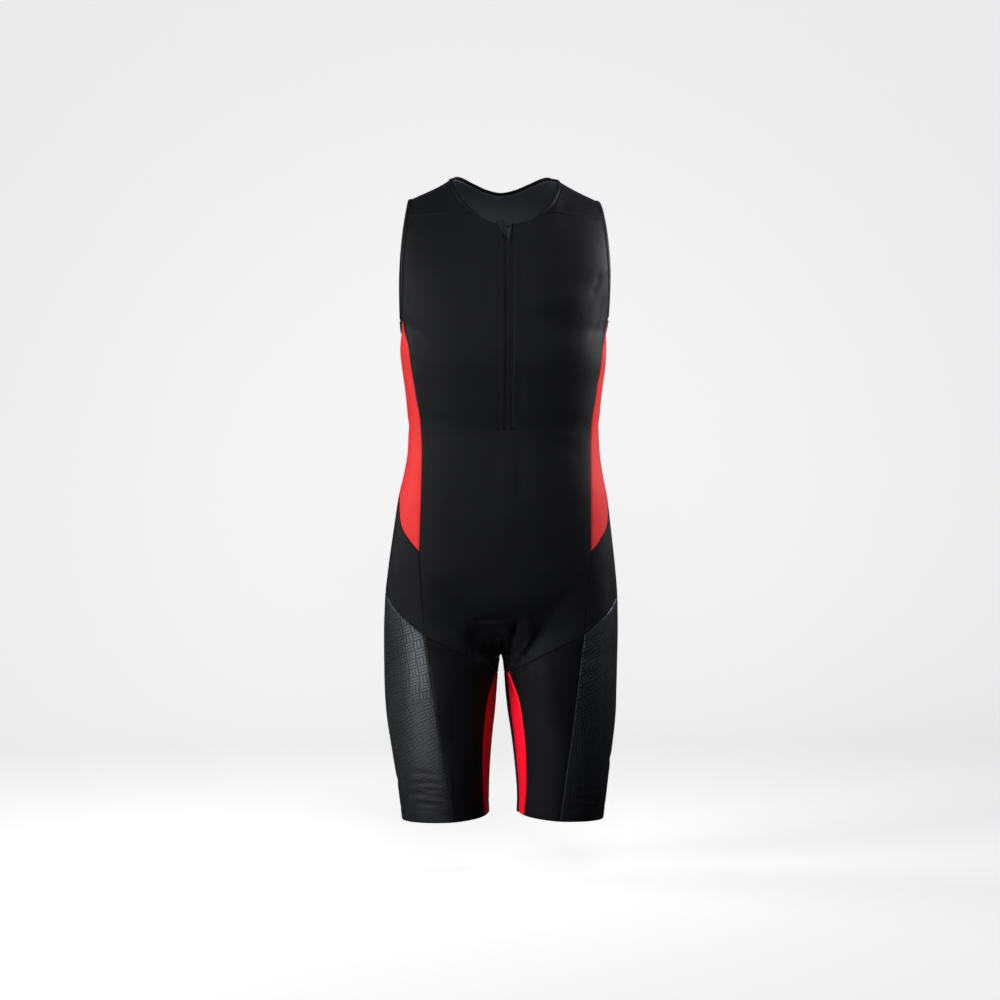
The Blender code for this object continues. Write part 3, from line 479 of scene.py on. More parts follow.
def between(top, bottom, shares, ease):
    """Heights from top to bottom at shares, with ease 1 crowding them by a sine near the bottom."""
    shares = shares[:, None]
    return top + (bottom - top) * (shares * (1 - ease) + np.sin(shares * np.pi / 2) * ease)


def unit(vectors):
    """The vectors over their own lengths."""
    return vectors / np.maximum(np.linalg.norm(vectors, axis=-1, keepdims=True), TINY)


def normals(surface, a, b, step_a, step_b):
    """Unit normals of a two-parameter surface: the cross product of its central differences."""
    along_a = surface(a + step_a, b) - surface(a - step_a, b)
    along_b = surface(a, b + step_b) - surface(a, b - step_b)
    cross = np.cross(along_a, along_b)
    return unit(cross)


def leaned(points):
    """The points with the suit's small sideways lean added, by height."""
    moved = np.array(points)
    moved[..., 0] += column(LEAN, moved[..., 2])
    return moved


RING_STEP = 0.0005
HEIGHT_STEP = 0.0004
RING_EDGE = 0.0006


def body_patch(t, z, sign):
    """Points and outward normals of one side of the form, sign 1 for the wearer's left."""
    flip = np.array([sign, 1.0, 1.0])
    inside = np.clip(t, RING_EDGE, 1.0 - RING_EDGE)
    return form(t, z) * flip, normals(form, inside, z, RING_STEP, HEIGHT_STEP) * flip


def on_front(x, z):
    """Points on the form's front at x and height z, with x kept just inside the half width."""
    near = np.minimum(np.abs(x), torso_half_width(z) * 0.999)
    points = form(ring_at_x(near, z), z)
    points[..., 0] = np.sign(x) * near
    return points


def sighted(x, z):
    """Points of the front seen past x and z on the suit's upright middle plane, by similar triangles."""
    points = on_front(x, z)
    for _ in range(3):
        near = points[:, 1] / (EYE[1] - points[:, 1])
        points = on_front((x + EYE[0] * near) / (1 + near), EYE[2] + (z - EYE[2]) / (1 + near))
    return points


def front_path(row):
    """The line of a fold on the front: a straight run in x and z, bowed by a parabola."""
    x0, z0, x1, z1, bow = row[:5]
    s = np.linspace(0.0, 1.0, FOLD_POINTS)
    long = math.hypot(x1 - x0, z1 - z0)
    arch = bow * 4 * s * (1 - s)
    x = x0 + (x1 - x0) * s + arch * (z1 - z0) / long
    z = z0 + (z1 - z0) * s - arch * (x1 - x0) / long
    return sighted(x, z)


def around_path(row):
    """The line of a fold given by ring positions and heights, on the side that the row's sign names."""
    t0, z0, t1, z1, bow = row[:5]
    s = np.linspace(0.0, 1.0, FOLD_POINTS)
    z = z0 + (z1 - z0) * s + bow * 4 * s * (1 - s)
    points = form(t0 + (t1 - t0) * s, z)
    points[:, 0] *= row[7]
    return points


def fold_height(points, paths):
    """Height of all folds at the points: a bell across each line, eased to nothing at its ends."""
    height = np.zeros(points.shape[:-1])
    for path, width, rise in paths:
        low = path.min(axis=0) - width * FOLD_REACH
        high = path.max(axis=0) + width * FOLD_REACH
        close = np.all((points > low) & (points < high), axis=-1)
        if not close.any():
            continue
        spots = points[close][:, None, :]
        start = path[:-1]
        run = path[1:] - start
        share = np.clip(((spots - start) * run).sum(-1) / (run * run).sum(-1), 0.0, 1.0)
        gap = np.linalg.norm(spots - (start + run * share[..., None]), axis=-1)
        best = gap.argmin(axis=1)
        pick = np.arange(len(best))
        along = (best + share[pick, best]) / len(run)
        ends = smooth(FOLD_EASE * along) * smooth(FOLD_EASE * (1 - along))
        height[close] += rise * ends * np.exp(-(gap[pick, best] / width) ** 2)
    return height


folds = [(front_path(row), row[5], row[6]) for row in FRONT_FOLDS]
folds += [(around_path(row), row[5], row[6]) for row in ROUND_FOLDS]


def seam_height(points, edges):
    """The dip of the cloth into its seams: a bell of the distance to each edge that is a seam."""
    left = points[:, :1]
    ends = {"first": left, "slit": left, "last": points[:, -1:], "top": points[:1], "bottom": points[-1:]}
    height = np.zeros(points.shape[:-1])
    for word in edges:
        gap = np.linalg.norm(points - ends[word], axis=-1)
        height = np.minimum(height, -SEAM_DIP * np.exp(-(gap / SEAM_DIP_WIDTH) ** 2))
    return height


def finished(points, outward, edges=(), level=CLOTH / 2):
    """The grid moved out by the half thickness, the folds and the seam dips, and leaned."""
    height = level + fold_height(points, folds) + seam_height(points, edges)
    return leaned(points + outward * height[..., None])


def lengths(grid):
    """Two arrays of distances in metres over a grid: across from its left edge, and down from its top."""
    across = np.linalg.norm(np.diff(grid, axis=1), axis=-1)
    down = np.linalg.norm(np.diff(grid, axis=0), axis=-1)
    across = np.concatenate([np.zeros((len(grid), 1)), np.cumsum(across, axis=1)], axis=1)
    down = np.concatenate([np.zeros((1, grid.shape[1])), np.cumsum(down, axis=0)], axis=0)
    return across, down


def wrapped(grid):
    """Distances over an upright grid: level ones from its middle column, and depths below the origin."""
    across = np.linalg.norm(np.diff(grid[..., :2], axis=1), axis=-1)
    across = np.concatenate([np.zeros((len(grid), 1)), np.cumsum(across, axis=1)], axis=1)
    middle = grid.shape[1] // 2
    return across - across[:, middle:middle + 1], -grid[..., 2]


def mesh_object(name, points, faces, flat=None):
    """A smooth-shaded mesh object from arrays of points, faces and, for each corner, UV in metres."""
    mesh = bpy.data.meshes.new(name)
    mesh.from_pydata(points.tolist(), [], faces.tolist())
    if flat is not None:
        layer = mesh.uv_layers.new(name="cloth")
        layer.data.foreach_set("uv", np.asarray(flat, np.float32).ravel())
    mesh.polygons.foreach_set("use_smooth", np.ones(len(faces), bool))
    mesh.update()
    made = bpy.data.objects.new(name, mesh)
    bpy.context.scene.collection.objects.link(made)
    return made


def mended(made, merge=0.0, level=0.0, closed=False, outward=False):
    """The object, with points nearer than merge made one and faces within an angle of level joined.

    Its open edges can be closed too, and its faces turned outwards.
    """
    bm = bmesh.new()
    bm.from_mesh(made.data)
    if merge:
        bmesh.ops.remove_doubles(bm, verts=bm.verts, dist=merge)
    if level:
        bmesh.ops.dissolve_limit(bm, angle_limit=level, verts=bm.verts, edges=bm.edges)
    if closed:
        bmesh.ops.holes_fill(bm, edges=[edge for edge in bm.edges if edge.is_boundary])
    if outward:
        bmesh.ops.recalc_face_normals(bm, faces=bm.faces)
    bm.to_mesh(made.data)
    bm.free()
    return made


def joined_mesh(name, grids, flattened=lengths):
    """One mesh from grids whose rows run down and whose columns run to +X in front.

    Points that meet are made one, and each grid's distances become the UV map in metres.
    """
    corners = []
    flat = []
    first = 0
    for grid in grids:
        rows, columns = grid.shape[:2]
        index = first + np.arange(rows * columns).reshape(rows, columns)
        quads = np.stack([index[:-1, :-1], index[1:, :-1], index[1:, 1:], index[:-1, 1:]], axis=-1)
        corners.append(quads.reshape(-1, 4))
        across, down = flattened(grid)
        flat.append(np.stack([across, -down], axis=-1).reshape(-1, 2))
        first += rows * columns
    points = np.concatenate([grid.reshape(-1, 3) for grid in grids])
    corners = np.concatenate(corners)
    made = mesh_object(name, points, corners, np.concatenate(flat)[corners.ravel()])
    return mended(made, merge=WELD)


def cloth_mesh(name, grids, wall=CLOTH, flattened=lengths):
    """One piece of cloth from grids: Solidify gives the wall, inwards from the outer face."""
    made = joined_mesh(name, grids, flattened)
    shell = made.modifiers.new("wall", "SOLIDIFY")
    shell.thickness = wall
    shell.offset = -1.0
    shell.use_even_offset = False
    shell.material_offset = 1
    return made


class Wire:
    """A node's output. Its operators add Math nodes, so shader values are written as formulas."""

    def __init__(self, finish, socket):
        self.finish = finish
        self.socket = socket

    def math(self, operation, *others, clamp=False):
        """This value and the others through one Math node."""
        values = {0: self, **{i + 1: other for i, other in enumerate(others)}}
        return self.finish.add("ShaderNodeMath", {"operation": operation, "use_clamp": clamp}, values)

    def __add__(self, other):
        return self.math("ADD", other)

    def __sub__(self, other):
        return self.math("SUBTRACT", other)

    def __mul__(self, other):
        return self.math("MULTIPLY", other)

    def __truediv__(self, other):
        return self.math("DIVIDE", other)

    def __rsub__(self, other):
        return (self * -1.0) + other

    __radd__ = __add__
    __rmul__ = __mul__

    def step(self, edge, soft):
        """0 below the edge and 1 above it, over a soft width."""
        return ((self - edge) / soft + 0.5).math("ADD", 0.0, clamp=True)

    def part(self, name):
        """Another output of the same node, by its name or number."""
        return Wire(self.finish, self.socket.node.outputs[name])


class Finish:
    """A procedural material: add() makes its nodes, and done() sets the shader's sockets."""

    def __init__(self, name, colour):
        self.material = bpy.data.materials.new(name)
        self.material.use_nodes = True
        self.material.diffuse_color = (*colour, 1.0)
        self.tree = self.material.node_tree
        self.shader = self.tree.nodes["Principled BSDF"]
        self.place = self.add("ShaderNodeTexCoord", {}, {}, "Object")
        self.flat = self.add("ShaderNodeUVMap", {"uv_map": "cloth"}, {})

    def add(self, kind, settings, values, output=None):
        """A node of a kind: its settings first, then the values or links of its sockets."""
        made = self.tree.nodes.new(kind)
        for word, value in settings.items():
            setattr(made, word, value)
        for word, value in values.items():
            self.put(made.inputs[word], value)
        shown = [socket for socket in made.outputs if socket.enabled]
        return Wire(self, made.outputs[output] if output else shown[0])

    def put(self, socket, value):
        """Link or set one socket. A colour's three parts are set with a full alpha."""
        if isinstance(value, Wire):
            self.tree.links.new(value.socket, socket)
        elif socket.type == "RGBA":
            socket.default_value = (*value, 1.0)
        else:
            socket.default_value = value

    def noise(self, scale, detail=2.0, rough=0.5):
        """Noise from 0 to 1 over the object's own place."""
        values = {"Vector": self.place, "Scale": scale, "Detail": detail, "Roughness": rough}
        return self.add("ShaderNodeTexNoise", {}, values)

    def blend(self, share, first, second):
        """A colour between two."""
        colours = {"Factor": share, 6: first, 7: second}
        return self.add("ShaderNodeMix", {"data_type": "RGBA"}, colours).part(2)

    def split(self, vector):
        """The three parts of a vector."""
        made = self.add("ShaderNodeSeparateXYZ", {}, {0: vector})
        return made.part("X"), made.part("Y"), made.part("Z")

    def bump(self, height, depth, strength, under=None):
        """A normal from a height between 0 and 1, depth metres high."""
        values = {"Height": height, "Distance": depth, "Strength": strength}
        if under:
            values["Normal"] = under
        return self.add("ShaderNodeBump", {}, values)

    def done(self, **sockets):
        """Set the shader's sockets, spaces in their names written as underscores."""
        for word, value in sockets.items():
            self.put(self.shader.inputs[word.replace("_", " ")], value)
        return self.material


KNIT_WALE = 0.0011
KNIT_COURSE = 0.0008


def knit_bump(finish):
    """Rows of knitted loops: a rounded rib along each wale, broken by a sine at each course."""
    across, down, _ = finish.split(finish.flat)
    rib = (across * (math.pi / KNIT_WALE)).math("SINE").math("ABSOLUTE")
    loop = (down * (2 * math.pi / KNIT_COURSE)).math("SINE") * 0.25 + 0.75
    fibre = finish.noise(scale=900.0, detail=3.0, rough=0.6)
    return finish.bump(rib * loop + fibre * 0.35, depth=0.00012, strength=0.55)


def knit(name, dark, light, roughness, sheen, sheen_tint=(1.0, 1.0, 1.0)):
    """Finish of a plain knit: a colour that drifts between two, with fibre flecks and loop bump."""
    finish = Finish(name, dark)
    drift = finish.noise(scale=7.0, detail=3.0, rough=0.55)
    fleck = finish.noise(scale=650.0)
    share = (drift * 0.75 + fleck * 0.5).step(edge=0.62, soft=0.7)
    grain = finish.noise(scale=160.0) * 0.08 + drift * 0.06
    return finish.done(
        Base_Color=finish.blend(share, dark, light),
        Roughness=grain + (roughness - 0.07),
        Specular_IOR_Level=0.07,
        Sheen_Weight=sheen,
        Sheen_Roughness=0.45,
        Sheen_Tint=sheen_tint,
        Normal=knit_bump(finish),
    )


black_knit = knit("suit_black_knit", (0.0066, 0.0070, 0.0094), (0.0090, 0.0096, 0.0126), 0.52, 0.02)
# The knit's reverse, on every inner face: a grey far lighter than the face. It is partly the knit's paler
# back and partly painted light, for the light that reaches the inside through the openings.
reverse_knit_painted_light = knit("suit_knit_reverse_painted_light", (0.040, 0.043, 0.052), (0.054, 0.058, 0.068), 0.6, 0.02)


def fitted(made, finish, node=None, body="suit"):
    """Give a piece its material and slot, hide the CAD node that it stands for, and attach it to the body it
    rides on.
    """
    made.data.materials.append(finish)
    if node:
        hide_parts(node)
    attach(made, body)


def cloth_piece(made, node, finish):
    """Fit a piece of cloth, with the knit's reverse inside, and hide the CAD node it stands for."""
    fitted(made, finish, node)
    # the reverse's lighter grey inside is partly painted light
    made.data.materials.append(reverse_knit_painted_light)


def front_ring(j, z, lower):
    """Ring position of column j, 0 to 8: torso columns above, easing to the leg's columns below."""
    seam = front_seam(z)
    slit = ring_at_x(SLIT_HALF, z)
    torso = np.where(j < 1, slit * j, slit + (seam - slit) * (j - 1) / (FRONT_COLUMNS - 1))
    inner = inner_seam(np.minimum(z, CROTCH_Z))
    outer = inner + (seam - inner) * (j - INNER_COLUMNS) / (FRONT_COLUMNS - INNER_COLUMNS)
    leg = np.where(j <= INNER_COLUMNS, inner * j / INNER_COLUMNS, outer)
    mix = smooth((RED_TIP_Z - z) / (RED_TIP_Z - lower))
    return torso * (1 - mix) + leg * mix


# rows of each block down the body, from its length: chest, waist, hip, foot of the rise, and leg
BLOCKS = (
    steps(0.166),
    steps(0.177, last=True),
    steps(0.160, first=True),
    steps(STUB_DROP, last=True),
    np.union1d(steps(0.215, first=True), np.linspace(0.70, 1.0, 31)),
)
HIP_BLOCK = 2
LEG_BLOCK = 4
# Columns of the chest from the slit to the side, closer at the creases beside the zip, of the belly
# from the middle, and of the rise, closer where the pad's folds lie. The rows are closer there too.
OUTER_COLUMNS = 1 + steps(0.150, first=True, last=True) * (FRONT_COLUMNS - 1)
OUTER_COLUMNS = np.union1d(OUTER_COLUMNS, np.linspace(1.20, 1.70, 12))
BELLY_COLUMNS = np.concatenate([[0.0, 0.5], OUTER_COLUMNS])
RISE_COLUMNS = np.union1d(BELLY_COLUMNS, np.linspace(1.0, 5.0, 53))
HIP_ROWS = np.union1d(BLOCKS[HIP_BLOCK], np.linspace(0.38, 1.0, 78))
STUB_ROWS = np.union1d(BLOCKS[3], np.linspace(0.0, 1.0, 19))
FRONT_ROWS = (BLOCKS[0], BLOCKS[1], HIP_ROWS, STUB_ROWS, BLOCKS[LEG_BLOCK])
threads = {"black": [], "red": [], "inner": []}


def facing(grid, flipped):
    """Cross product of the steps down and across a grid: the cloth's outward direction."""
    return np.cross(np.gradient(grid, axis=0), np.gradient(grid, axis=1)) * (-1.0 if flipped else 1.0)


def sew(grid, flipped, edges, thread):
    """Keep the line of stitches beside each seam edge of a grid, with the cloth's normals there."""
    out = facing(grid, flipped)
    spots = {"first": np.s_[:, SEAM_STITCH], "last": np.s_[:, -1 - SEAM_STITCH],
             "top": np.s_[SEAM_STITCH, :], "bottom": np.s_[-1 - SEAM_STITCH, :]}
    for word in edges:
        threads[thread].append((grid[spots[word]], out[spots[word]]))


def body_block(t, z, sign, flipped, edges, thread, hemmed=False):
    """Finished grid of one block of the body; a hemmed one goes round its edge and up inside.

    The turned cloth is a half circle below the hem and a straight run inside, and the outer face
    dips along the line of the hem's stitches.
    """
    level = np.full_like(z, CLOTH / 2)
    if hemmed:
        hem = z[-1]
        level = level - HEM_DIP * np.exp(-((z - hem - HEM_TURN) / HEM_DIP_WIDTH) ** 2)
        turn = np.linspace(0.0, np.pi, HEM_TURN_STEPS + 1)[1:]
        run = np.linspace(0.0, HEM_TURN, HEM_RUN_STEPS + 1)[1:]
        down = np.concatenate([-HEM_ROUND * np.sin(turn), run])
        inward = np.concatenate([HEM_ROUND * (1 - np.cos(turn)), np.full(HEM_RUN_STEPS, 2 * HEM_ROUND)])
        z = np.concatenate([z, hem + down[:, None]])
        t = np.concatenate([t, np.repeat(t[-1:], len(down), axis=0)])
        level = np.concatenate([level, CLOTH / 2 - inward[:, None] + np.zeros_like(hem)])
    points, outward = body_patch(t, z, sign)
    grid = finished(points, outward, edges, level)
    sewn = [word for word in edges if word != "slit"]
    sew(grid[:len(BLOCKS[LEG_BLOCK])] if hemmed else grid, flipped, sewn, thread)
    if hemmed:
        out = facing(grid, flipped)
        line = np.arange(grid.shape[1])
        for rise in (HEM_TURN - HEM_ROW_GAP, HEM_TURN + HEM_ROW_GAP):
            below = (z[:len(BLOCKS[LEG_BLOCK])] > hem + rise).sum(axis=0)
            above = below - 1
            share = ((z[above, line] - hem - rise) / (z[above, line] - z[below, line]))[:, None]
            spots = grid[above, line] * (1 - share) + grid[below, line] * share
            threads[thread].append((spots, out[below, line]))
    return grid[:, ::-1] if flipped else grid


def front_block(block, columns, sign, edges=(), thread="black", above=None):
    """Finished grid of one block of the front at columns 0, the middle, to 8, the side seam.

    The first row keeps to the columns of the block above, each of its points at the nearest one.
    """
    share = columns / FRONT_COLUMNS
    lower = column(FRONT_LOWER, share)
    level = np.zeros_like(share)
    stops = (level + PANEL_TOP_Z, level + ZIP_BOTTOM_Z, level + RED_TIP_Z, lower + STUB_DROP, lower,
             hem_height(HEM_FRONT_SHARE * share))
    ease = 1.0 - share if block == HIP_BLOCK else 0.0
    z = between(stops[block], stops[block + 1], FRONT_ROWS[block], ease)
    columns = columns + np.zeros_like(z)
    if above is not None:
        columns[0] = above[np.abs(columns[0][:, None] - above).argmin(axis=1)]
    t = front_ring(columns, z, lower)
    return body_block(t, z, sign, sign < 0, edges, thread, block == LEG_BLOCK)


# Rows over the shoulder in five parts: up to the neck, the yoke seam, the ridge, the middle of the
# back neck, and down to the back. Each part's share of the way is the number of steps in its solid.
SHOULDER_PARTS = (5, 4, 5, 6, 6)
shoulder_rows = (
    steps(0.135),
    steps(0.075, last=True),
    steps(0.085, first=True),
    steps(0.090),
    steps(0.200),
)
placed = [sum(SHOULDER_PARTS[:k]) + rows[1:] * SHOULDER_PARTS[k] for k, rows in enumerate(shoulder_rows)]
row_index = np.concatenate([[0.0]] + placed)
NECK_FIRST = len(shoulder_rows[0]) - 1
YOKE_ROW = NECK_FIRST + len(shoulder_rows[1]) - 1
RIDGE_ROW = YOKE_ROW + len(shoulder_rows[2]) - 1
NECK_LAST = RIDGE_ROW + len(shoulder_rows[3]) - 1


def inner_ends():
    """Inner ends (x and angle) of the shoulder rows: middle front, neck edge, middle back."""
    ridge = column(RIDGE, NECK_HALF)
    centre = PANEL_TOP_Z + (NECK_FRONT_Z - PANEL_TOP_Z) * shoulder_rows[0]
    x = [np.full_like(centre, SLIT_HALF)]
    angle = [shoulder_angle(x[0], centre)]
    first = math.degrees(math.asin(SLIT_HALF / NECK_HALF))
    stops = (first, YOKE_NECK_ANGLE, 90.0)
    for low, high, rows in zip(stops, stops[1:], shoulder_rows[1:3]):
        turn = np.radians(low + (high - low) * rows[1:])
        x.append(NECK_HALF * np.sin(turn))
        angle.append(shoulder_angle(x[-1], ridge - (ridge - NECK_FRONT_Z) * np.cos(turn)))
    x.append(NECK_HALF * (1 - shoulder_rows[3][1:]))
    angle.append(shoulder_angle(x[-1], column(BACK_NECK, x[-1]), True))
    middle = column(BACK_NECK, 0.0)
    low = middle + (PANEL_TOP_Z - middle) * shoulder_rows[4][1:]
    x.append(np.zeros_like(low))
    angle.append(shoulder_angle(x[-1], low, True))
    return np.concatenate(x), np.concatenate(angle)


def outer_angles():
    """Angles of the rows' outer ends over the shoulder, even to the yoke, the ridge and the armpit."""
    start = float(shoulder_angle(ARMHOLE_X, PANEL_TOP_Z))
    yoke = sum(SHOULDER_PARTS[:2])
    ridge = yoke + SHOULDER_PARTS[2]
    stops = (0, yoke, ridge, row_index[-1])
    return np.interp(row_index, stops, (start, YOKE_ARMHOLE_ANGLE, 90.0, 180.0 - start))


SHOULDER_CORE = np.array([0.0, 0.0, -0.2])
MIDDLE_GAP = 0.0012
END_ANGLE = 0.6
ANGLE_STEP = 0.3


def shoulder_block(first, last, share, sign, edges=()):
    """Finished grid of a run of shoulder rows, its columns at shares from the neck to the armhole."""
    x, angle = inner_ends()
    outer = outer_angles()
    tip = ARMHOLE_X - (ARMHOLE_X - SHOULDER_TIP_X) * np.sin(np.radians(outer)) ** 3
    rows = slice(first, last + 1)
    x = x[rows, None] + (tip - x)[rows, None] * share
    angle = angle[rows, None] + (outer - angle)[rows, None] * share
    flip = np.array([sign, 1.0, 1.0])
    points = shoulder(x, angle) * flip
    inside = np.clip(angle, END_ANGLE, 180.0 - END_ANGLE)
    out = normals(shoulder, np.maximum(x, MIDDLE_GAP), inside, RING_STEP, ANGLE_STEP) * flip
    out = out * np.sign((out * (points - SHOULDER_CORE)).sum(-1, keepdims=True))
    grid = finished(points, out, edges)
    sew(grid, sign > 0, [word for word in edges if word != "slit"], "black")
    return grid


top_ring = front_ring(OUTER_COLUMNS, np.full_like(OUTER_COLUMNS, PANEL_TOP_Z), CROTCH_Z)
front_share = form(top_ring, PANEL_TOP_Z)[:, 0]
front_share = (front_share - front_share[0]) / (front_share[-1] - front_share[0])
front_grids = []
edge_grids = {}
for sign in (1, -1):
    chest = front_block(0, OUTER_COLUMNS, sign, ("slit", "last"))
    over = shoulder_block(0, YOKE_ROW, front_share, sign, ("slit", "bottom"))
    over[0] = chest[0, ::-1] if sign < 0 else chest[0]
    edge_grids["front", sign] = over
    front_grids += [chest, over[:, ::-1] if sign > 0 else over]
    front_grids.append(front_block(1, BELLY_COLUMNS, sign, ("last",)))
    front_grids.append(front_block(2, RISE_COLUMNS, sign, ("last",), above=BELLY_COLUMNS))
    front_grids.append(front_block(3, RISE_COLUMNS, sign, ("last", "bottom")))
front = cloth_mesh("front_cloth", front_grids)
cloth_piece(front, "front", black_knit)

# ---------------------------------------------------------------- back
# The back is one piece of the same black knit, from the yoke seam in front, over the shoulders, to
# the seam below the seat. It is cut in one with the shoulders.

# height, ring position of the back seam
BACK_SEAM = (
    (-0.1975, 0.5684),
    (-0.3000, 0.5750),
    (-0.4050, 0.5850),
    (-0.5500, 0.6100),
    (-0.6200, 0.6300),
    (-0.7200, 0.6450),
    (-0.9450, 0.6500),
)
# share of the way from the inseam to the back seam, height of the seam below the seat
BACK_LOWER = (
    (0.0, -0.7235),
    (0.3, -0.7210),
    (0.6, -0.7000),
    (0.8, -0.6650),
    (1.0, -0.6120),
)
# height in the middle of the back, and its rise to the back seam
BACK_WAIST = (ZIP_BOTTOM_Z + 0.043, 0.020)
BACK_HIP = (-0.450, 0.045)
BACK_COLUMNS = steps(0.150, last=True)


def back_block(block, sign, edges=(), thread="black"):
    """Finished grid of one block of the back at shares from the middle to the back seam."""
    share = BACK_COLUMNS
    lower = column(BACK_LOWER, share)
    level = np.zeros_like(share)
    stops = (level + PANEL_TOP_Z, BACK_WAIST[0] + BACK_WAIST[1] * share, BACK_HIP[0] + BACK_HIP[1] * share,
             lower + STUB_DROP, lower, hem_height(share))
    ease = 1.0 - share if block == HIP_BLOCK else 0.0
    z = between(stops[block], stops[block + 1], BLOCKS[block], ease)
    t = 1.0 - (1.0 - column(BACK_SEAM, z)) * share
    return body_block(t, z, sign, sign > 0, edges, thread, block == LEG_BLOCK)


back_x = form(1.0 - (1.0 - BACK_SEAM[0][1]) * BACK_COLUMNS, PANEL_TOP_Z)[:, 0]
back_grids = []
for sign in (1, -1):
    upper = back_block(0, sign, ("last",))
    over = shoulder_block(YOKE_ROW, len(row_index) - 1, back_x / back_x[-1], sign, ("top",))
    over[-1] = upper[0, ::-1] if sign > 0 else upper[0]
    edge_grids["back", sign] = over
    back_grids += [upper, over[:, ::-1] if sign > 0 else over]
    back_grids.append(back_block(1, sign, ("last",)))
    back_grids.append(back_block(2, sign, ("last",)))
    back_grids.append(back_block(3, sign, ("last", "bottom")))
back = cloth_mesh("back_cloth", back_grids)
cloth_piece(back, "back", black_knit)

# ---------------------------------------------------------------- side panels, hips and thighs
# Down each side the suit has a bright panel from the armhole to the hip that narrows to a point in
# front, a black hip piece under it, and a thigh piece printed with silver-grey bars.

# share of the way from the front seam to the back seam, height of the seam over the thigh piece
SIDE_LOWER = (
    (0.0, -0.6640),
    (0.13, -0.6470),
    (0.28, -0.6310),
    (0.58, -0.6060),
    (0.78, -0.6020),
    (1.0, -0.6120),
)
# share of the way from the front seam to the back seam, lower edge of the bright panel
RED_EDGE = (
    (0.0, -0.5400),
    (0.18, -0.5205),
    (0.39, -0.4965),
    (0.51, -0.4710),
    (0.74, -0.4470),
    (1.0, -0.4050),
)
SIDE_WAIST_RISE = 0.063
ARMHOLE_EASE = 6.0
SIDE_COLUMNS = steps(0.100, first=True, last=True)


def side_block(block, sign, edges=("first", "last"), thread="black"):
    """Finished grid of one block of the side at shares from the front seam to the back seam.

    Its top edge is the armhole, a parabola over the ring, which eases to the seams' ring positions.
    """
    share = SIDE_COLUMNS
    ring = 0.5 - ARMHOLE_HALF_RING * math.sqrt((PANEL_TOP_Z - ARMPIT_Z) / ARMHOLE_ROUND)
    ring = ring + (1 - 2 * ring) * share
    top = ARMPIT_Z + ARMHOLE_ROUND * ((0.5 - ring) / ARMHOLE_HALF_RING) ** 2
    lower = column(SIDE_LOWER, share)
    hem = hem_height(HEM_FRONT_SHARE + (1 - HEM_FRONT_SHARE) * np.sin(np.pi * share / 2))
    stops = (top, ZIP_BOTTOM_Z + SIDE_WAIST_RISE * share, column(RED_EDGE, share), lower + STUB_DROP,
             lower, hem)
    z = between(stops[block], stops[block + 1], BLOCKS[block], 0.0)
    seam = front_seam(np.minimum(z, PANEL_TOP_Z))
    t = seam + (column(BACK_SEAM, z) - seam) * share
    if block == 0:
        mix = smooth(BLOCKS[0] * ARMHOLE_EASE)[:, None]
        t = ring * (1 - mix) + t * mix
    return body_block(t, z, sign, sign < 0, edges, thread, block == LEG_BLOCK)


red_knit = knit("suit_red_knit", (0.86, 0.030, 0.034), (0.98, 0.052, 0.052), 0.5, 0.02, (1.0, 0.75, 0.75))

PRINT_CELL = 0.0135
PRINT_BARS = 3.0
PRINT_TURN = 0.38
PRINT_INK = (0.056, 0.062, 0.071)
# middle height and length of the painted shade that darkens the print's ink towards the hem
PRINT_SHADE_Z = -0.80
PRINT_SHADE_LENGTH = 0.24
# cells to the side of the pattern's zero, which keeps every cell's number above 0
PRINT_CELLS_ASIDE = 100.0


def printed_knit():
    """Black knit printed with grey bars: square cells, each with three bars, turned from cell to cell.

    Within a cell the place across the bars is cut into three equal stripes, and the bars keep clear
    of the cell's edges. The print is worn to thin patches by noise. Its ink is darkened towards the
    hem as painted shade, for the light that falls off down the legs.
    """
    finish = Finish("suit_printed_knit", (0.035, 0.038, 0.046))
    across, down, _ = finish.split(finish.flat)
    turn = (math.cos(PRINT_TURN) / PRINT_CELL, math.sin(PRINT_TURN) / PRINT_CELL)
    a = across * turn[0] + down * turn[1] + PRINT_CELLS_ASIDE
    b = down * turn[0] - across * turn[1] + PRINT_CELLS_ASIDE
    odd = (a.math("FLOOR") + b.math("FLOOR")).math("MODULO", 2.0)
    a_part = a.math("FRACT")
    b_part = b.math("FRACT")
    run = a_part * (1.0 - odd) + b_part * odd
    side = b_part * (1.0 - odd) + a_part * odd
    stripe = (side * PRINT_BARS).math("FRACT")
    bar = stripe.step(edge=0.17, soft=0.16) * (1.0 - stripe.step(edge=0.83, soft=0.16))
    ends = run.step(edge=0.05, soft=0.06) * (1.0 - run.step(edge=0.95, soft=0.06))
    worn = finish.noise(scale=60.0, detail=3.0, rough=0.6).step(edge=0.28, soft=0.35) * 0.5 + 0.5
    _, _, height = finish.split(finish.place)
    # painted shade: the ink is darker lower down, for the light that falls off towards the hem
    painted_shade = height.step(PRINT_SHADE_Z, PRINT_SHADE_LENGTH) * 0.85 + 0.15
    ink = bar * ends * worn * painted_shade
    drift = finish.noise(scale=7.0, detail=3.0, rough=0.55).step(edge=0.5, soft=0.6)
    cloth = finish.blend(drift, (0.0040, 0.0043, 0.0058), (0.0060, 0.0064, 0.0086))
    return finish.done(
        Base_Color=finish.blend(ink, cloth, PRINT_INK),
        Roughness=0.55 - ink * 0.17,
        Metallic=ink * 0.75,
        Specular_IOR_Level=0.14,
        Sheen_Weight=0.02,
        Sheen_Roughness=0.4,
        Normal=finish.bump(bar * ends, depth=0.00008, strength=0.5, under=knit_bump(finish)),
    )


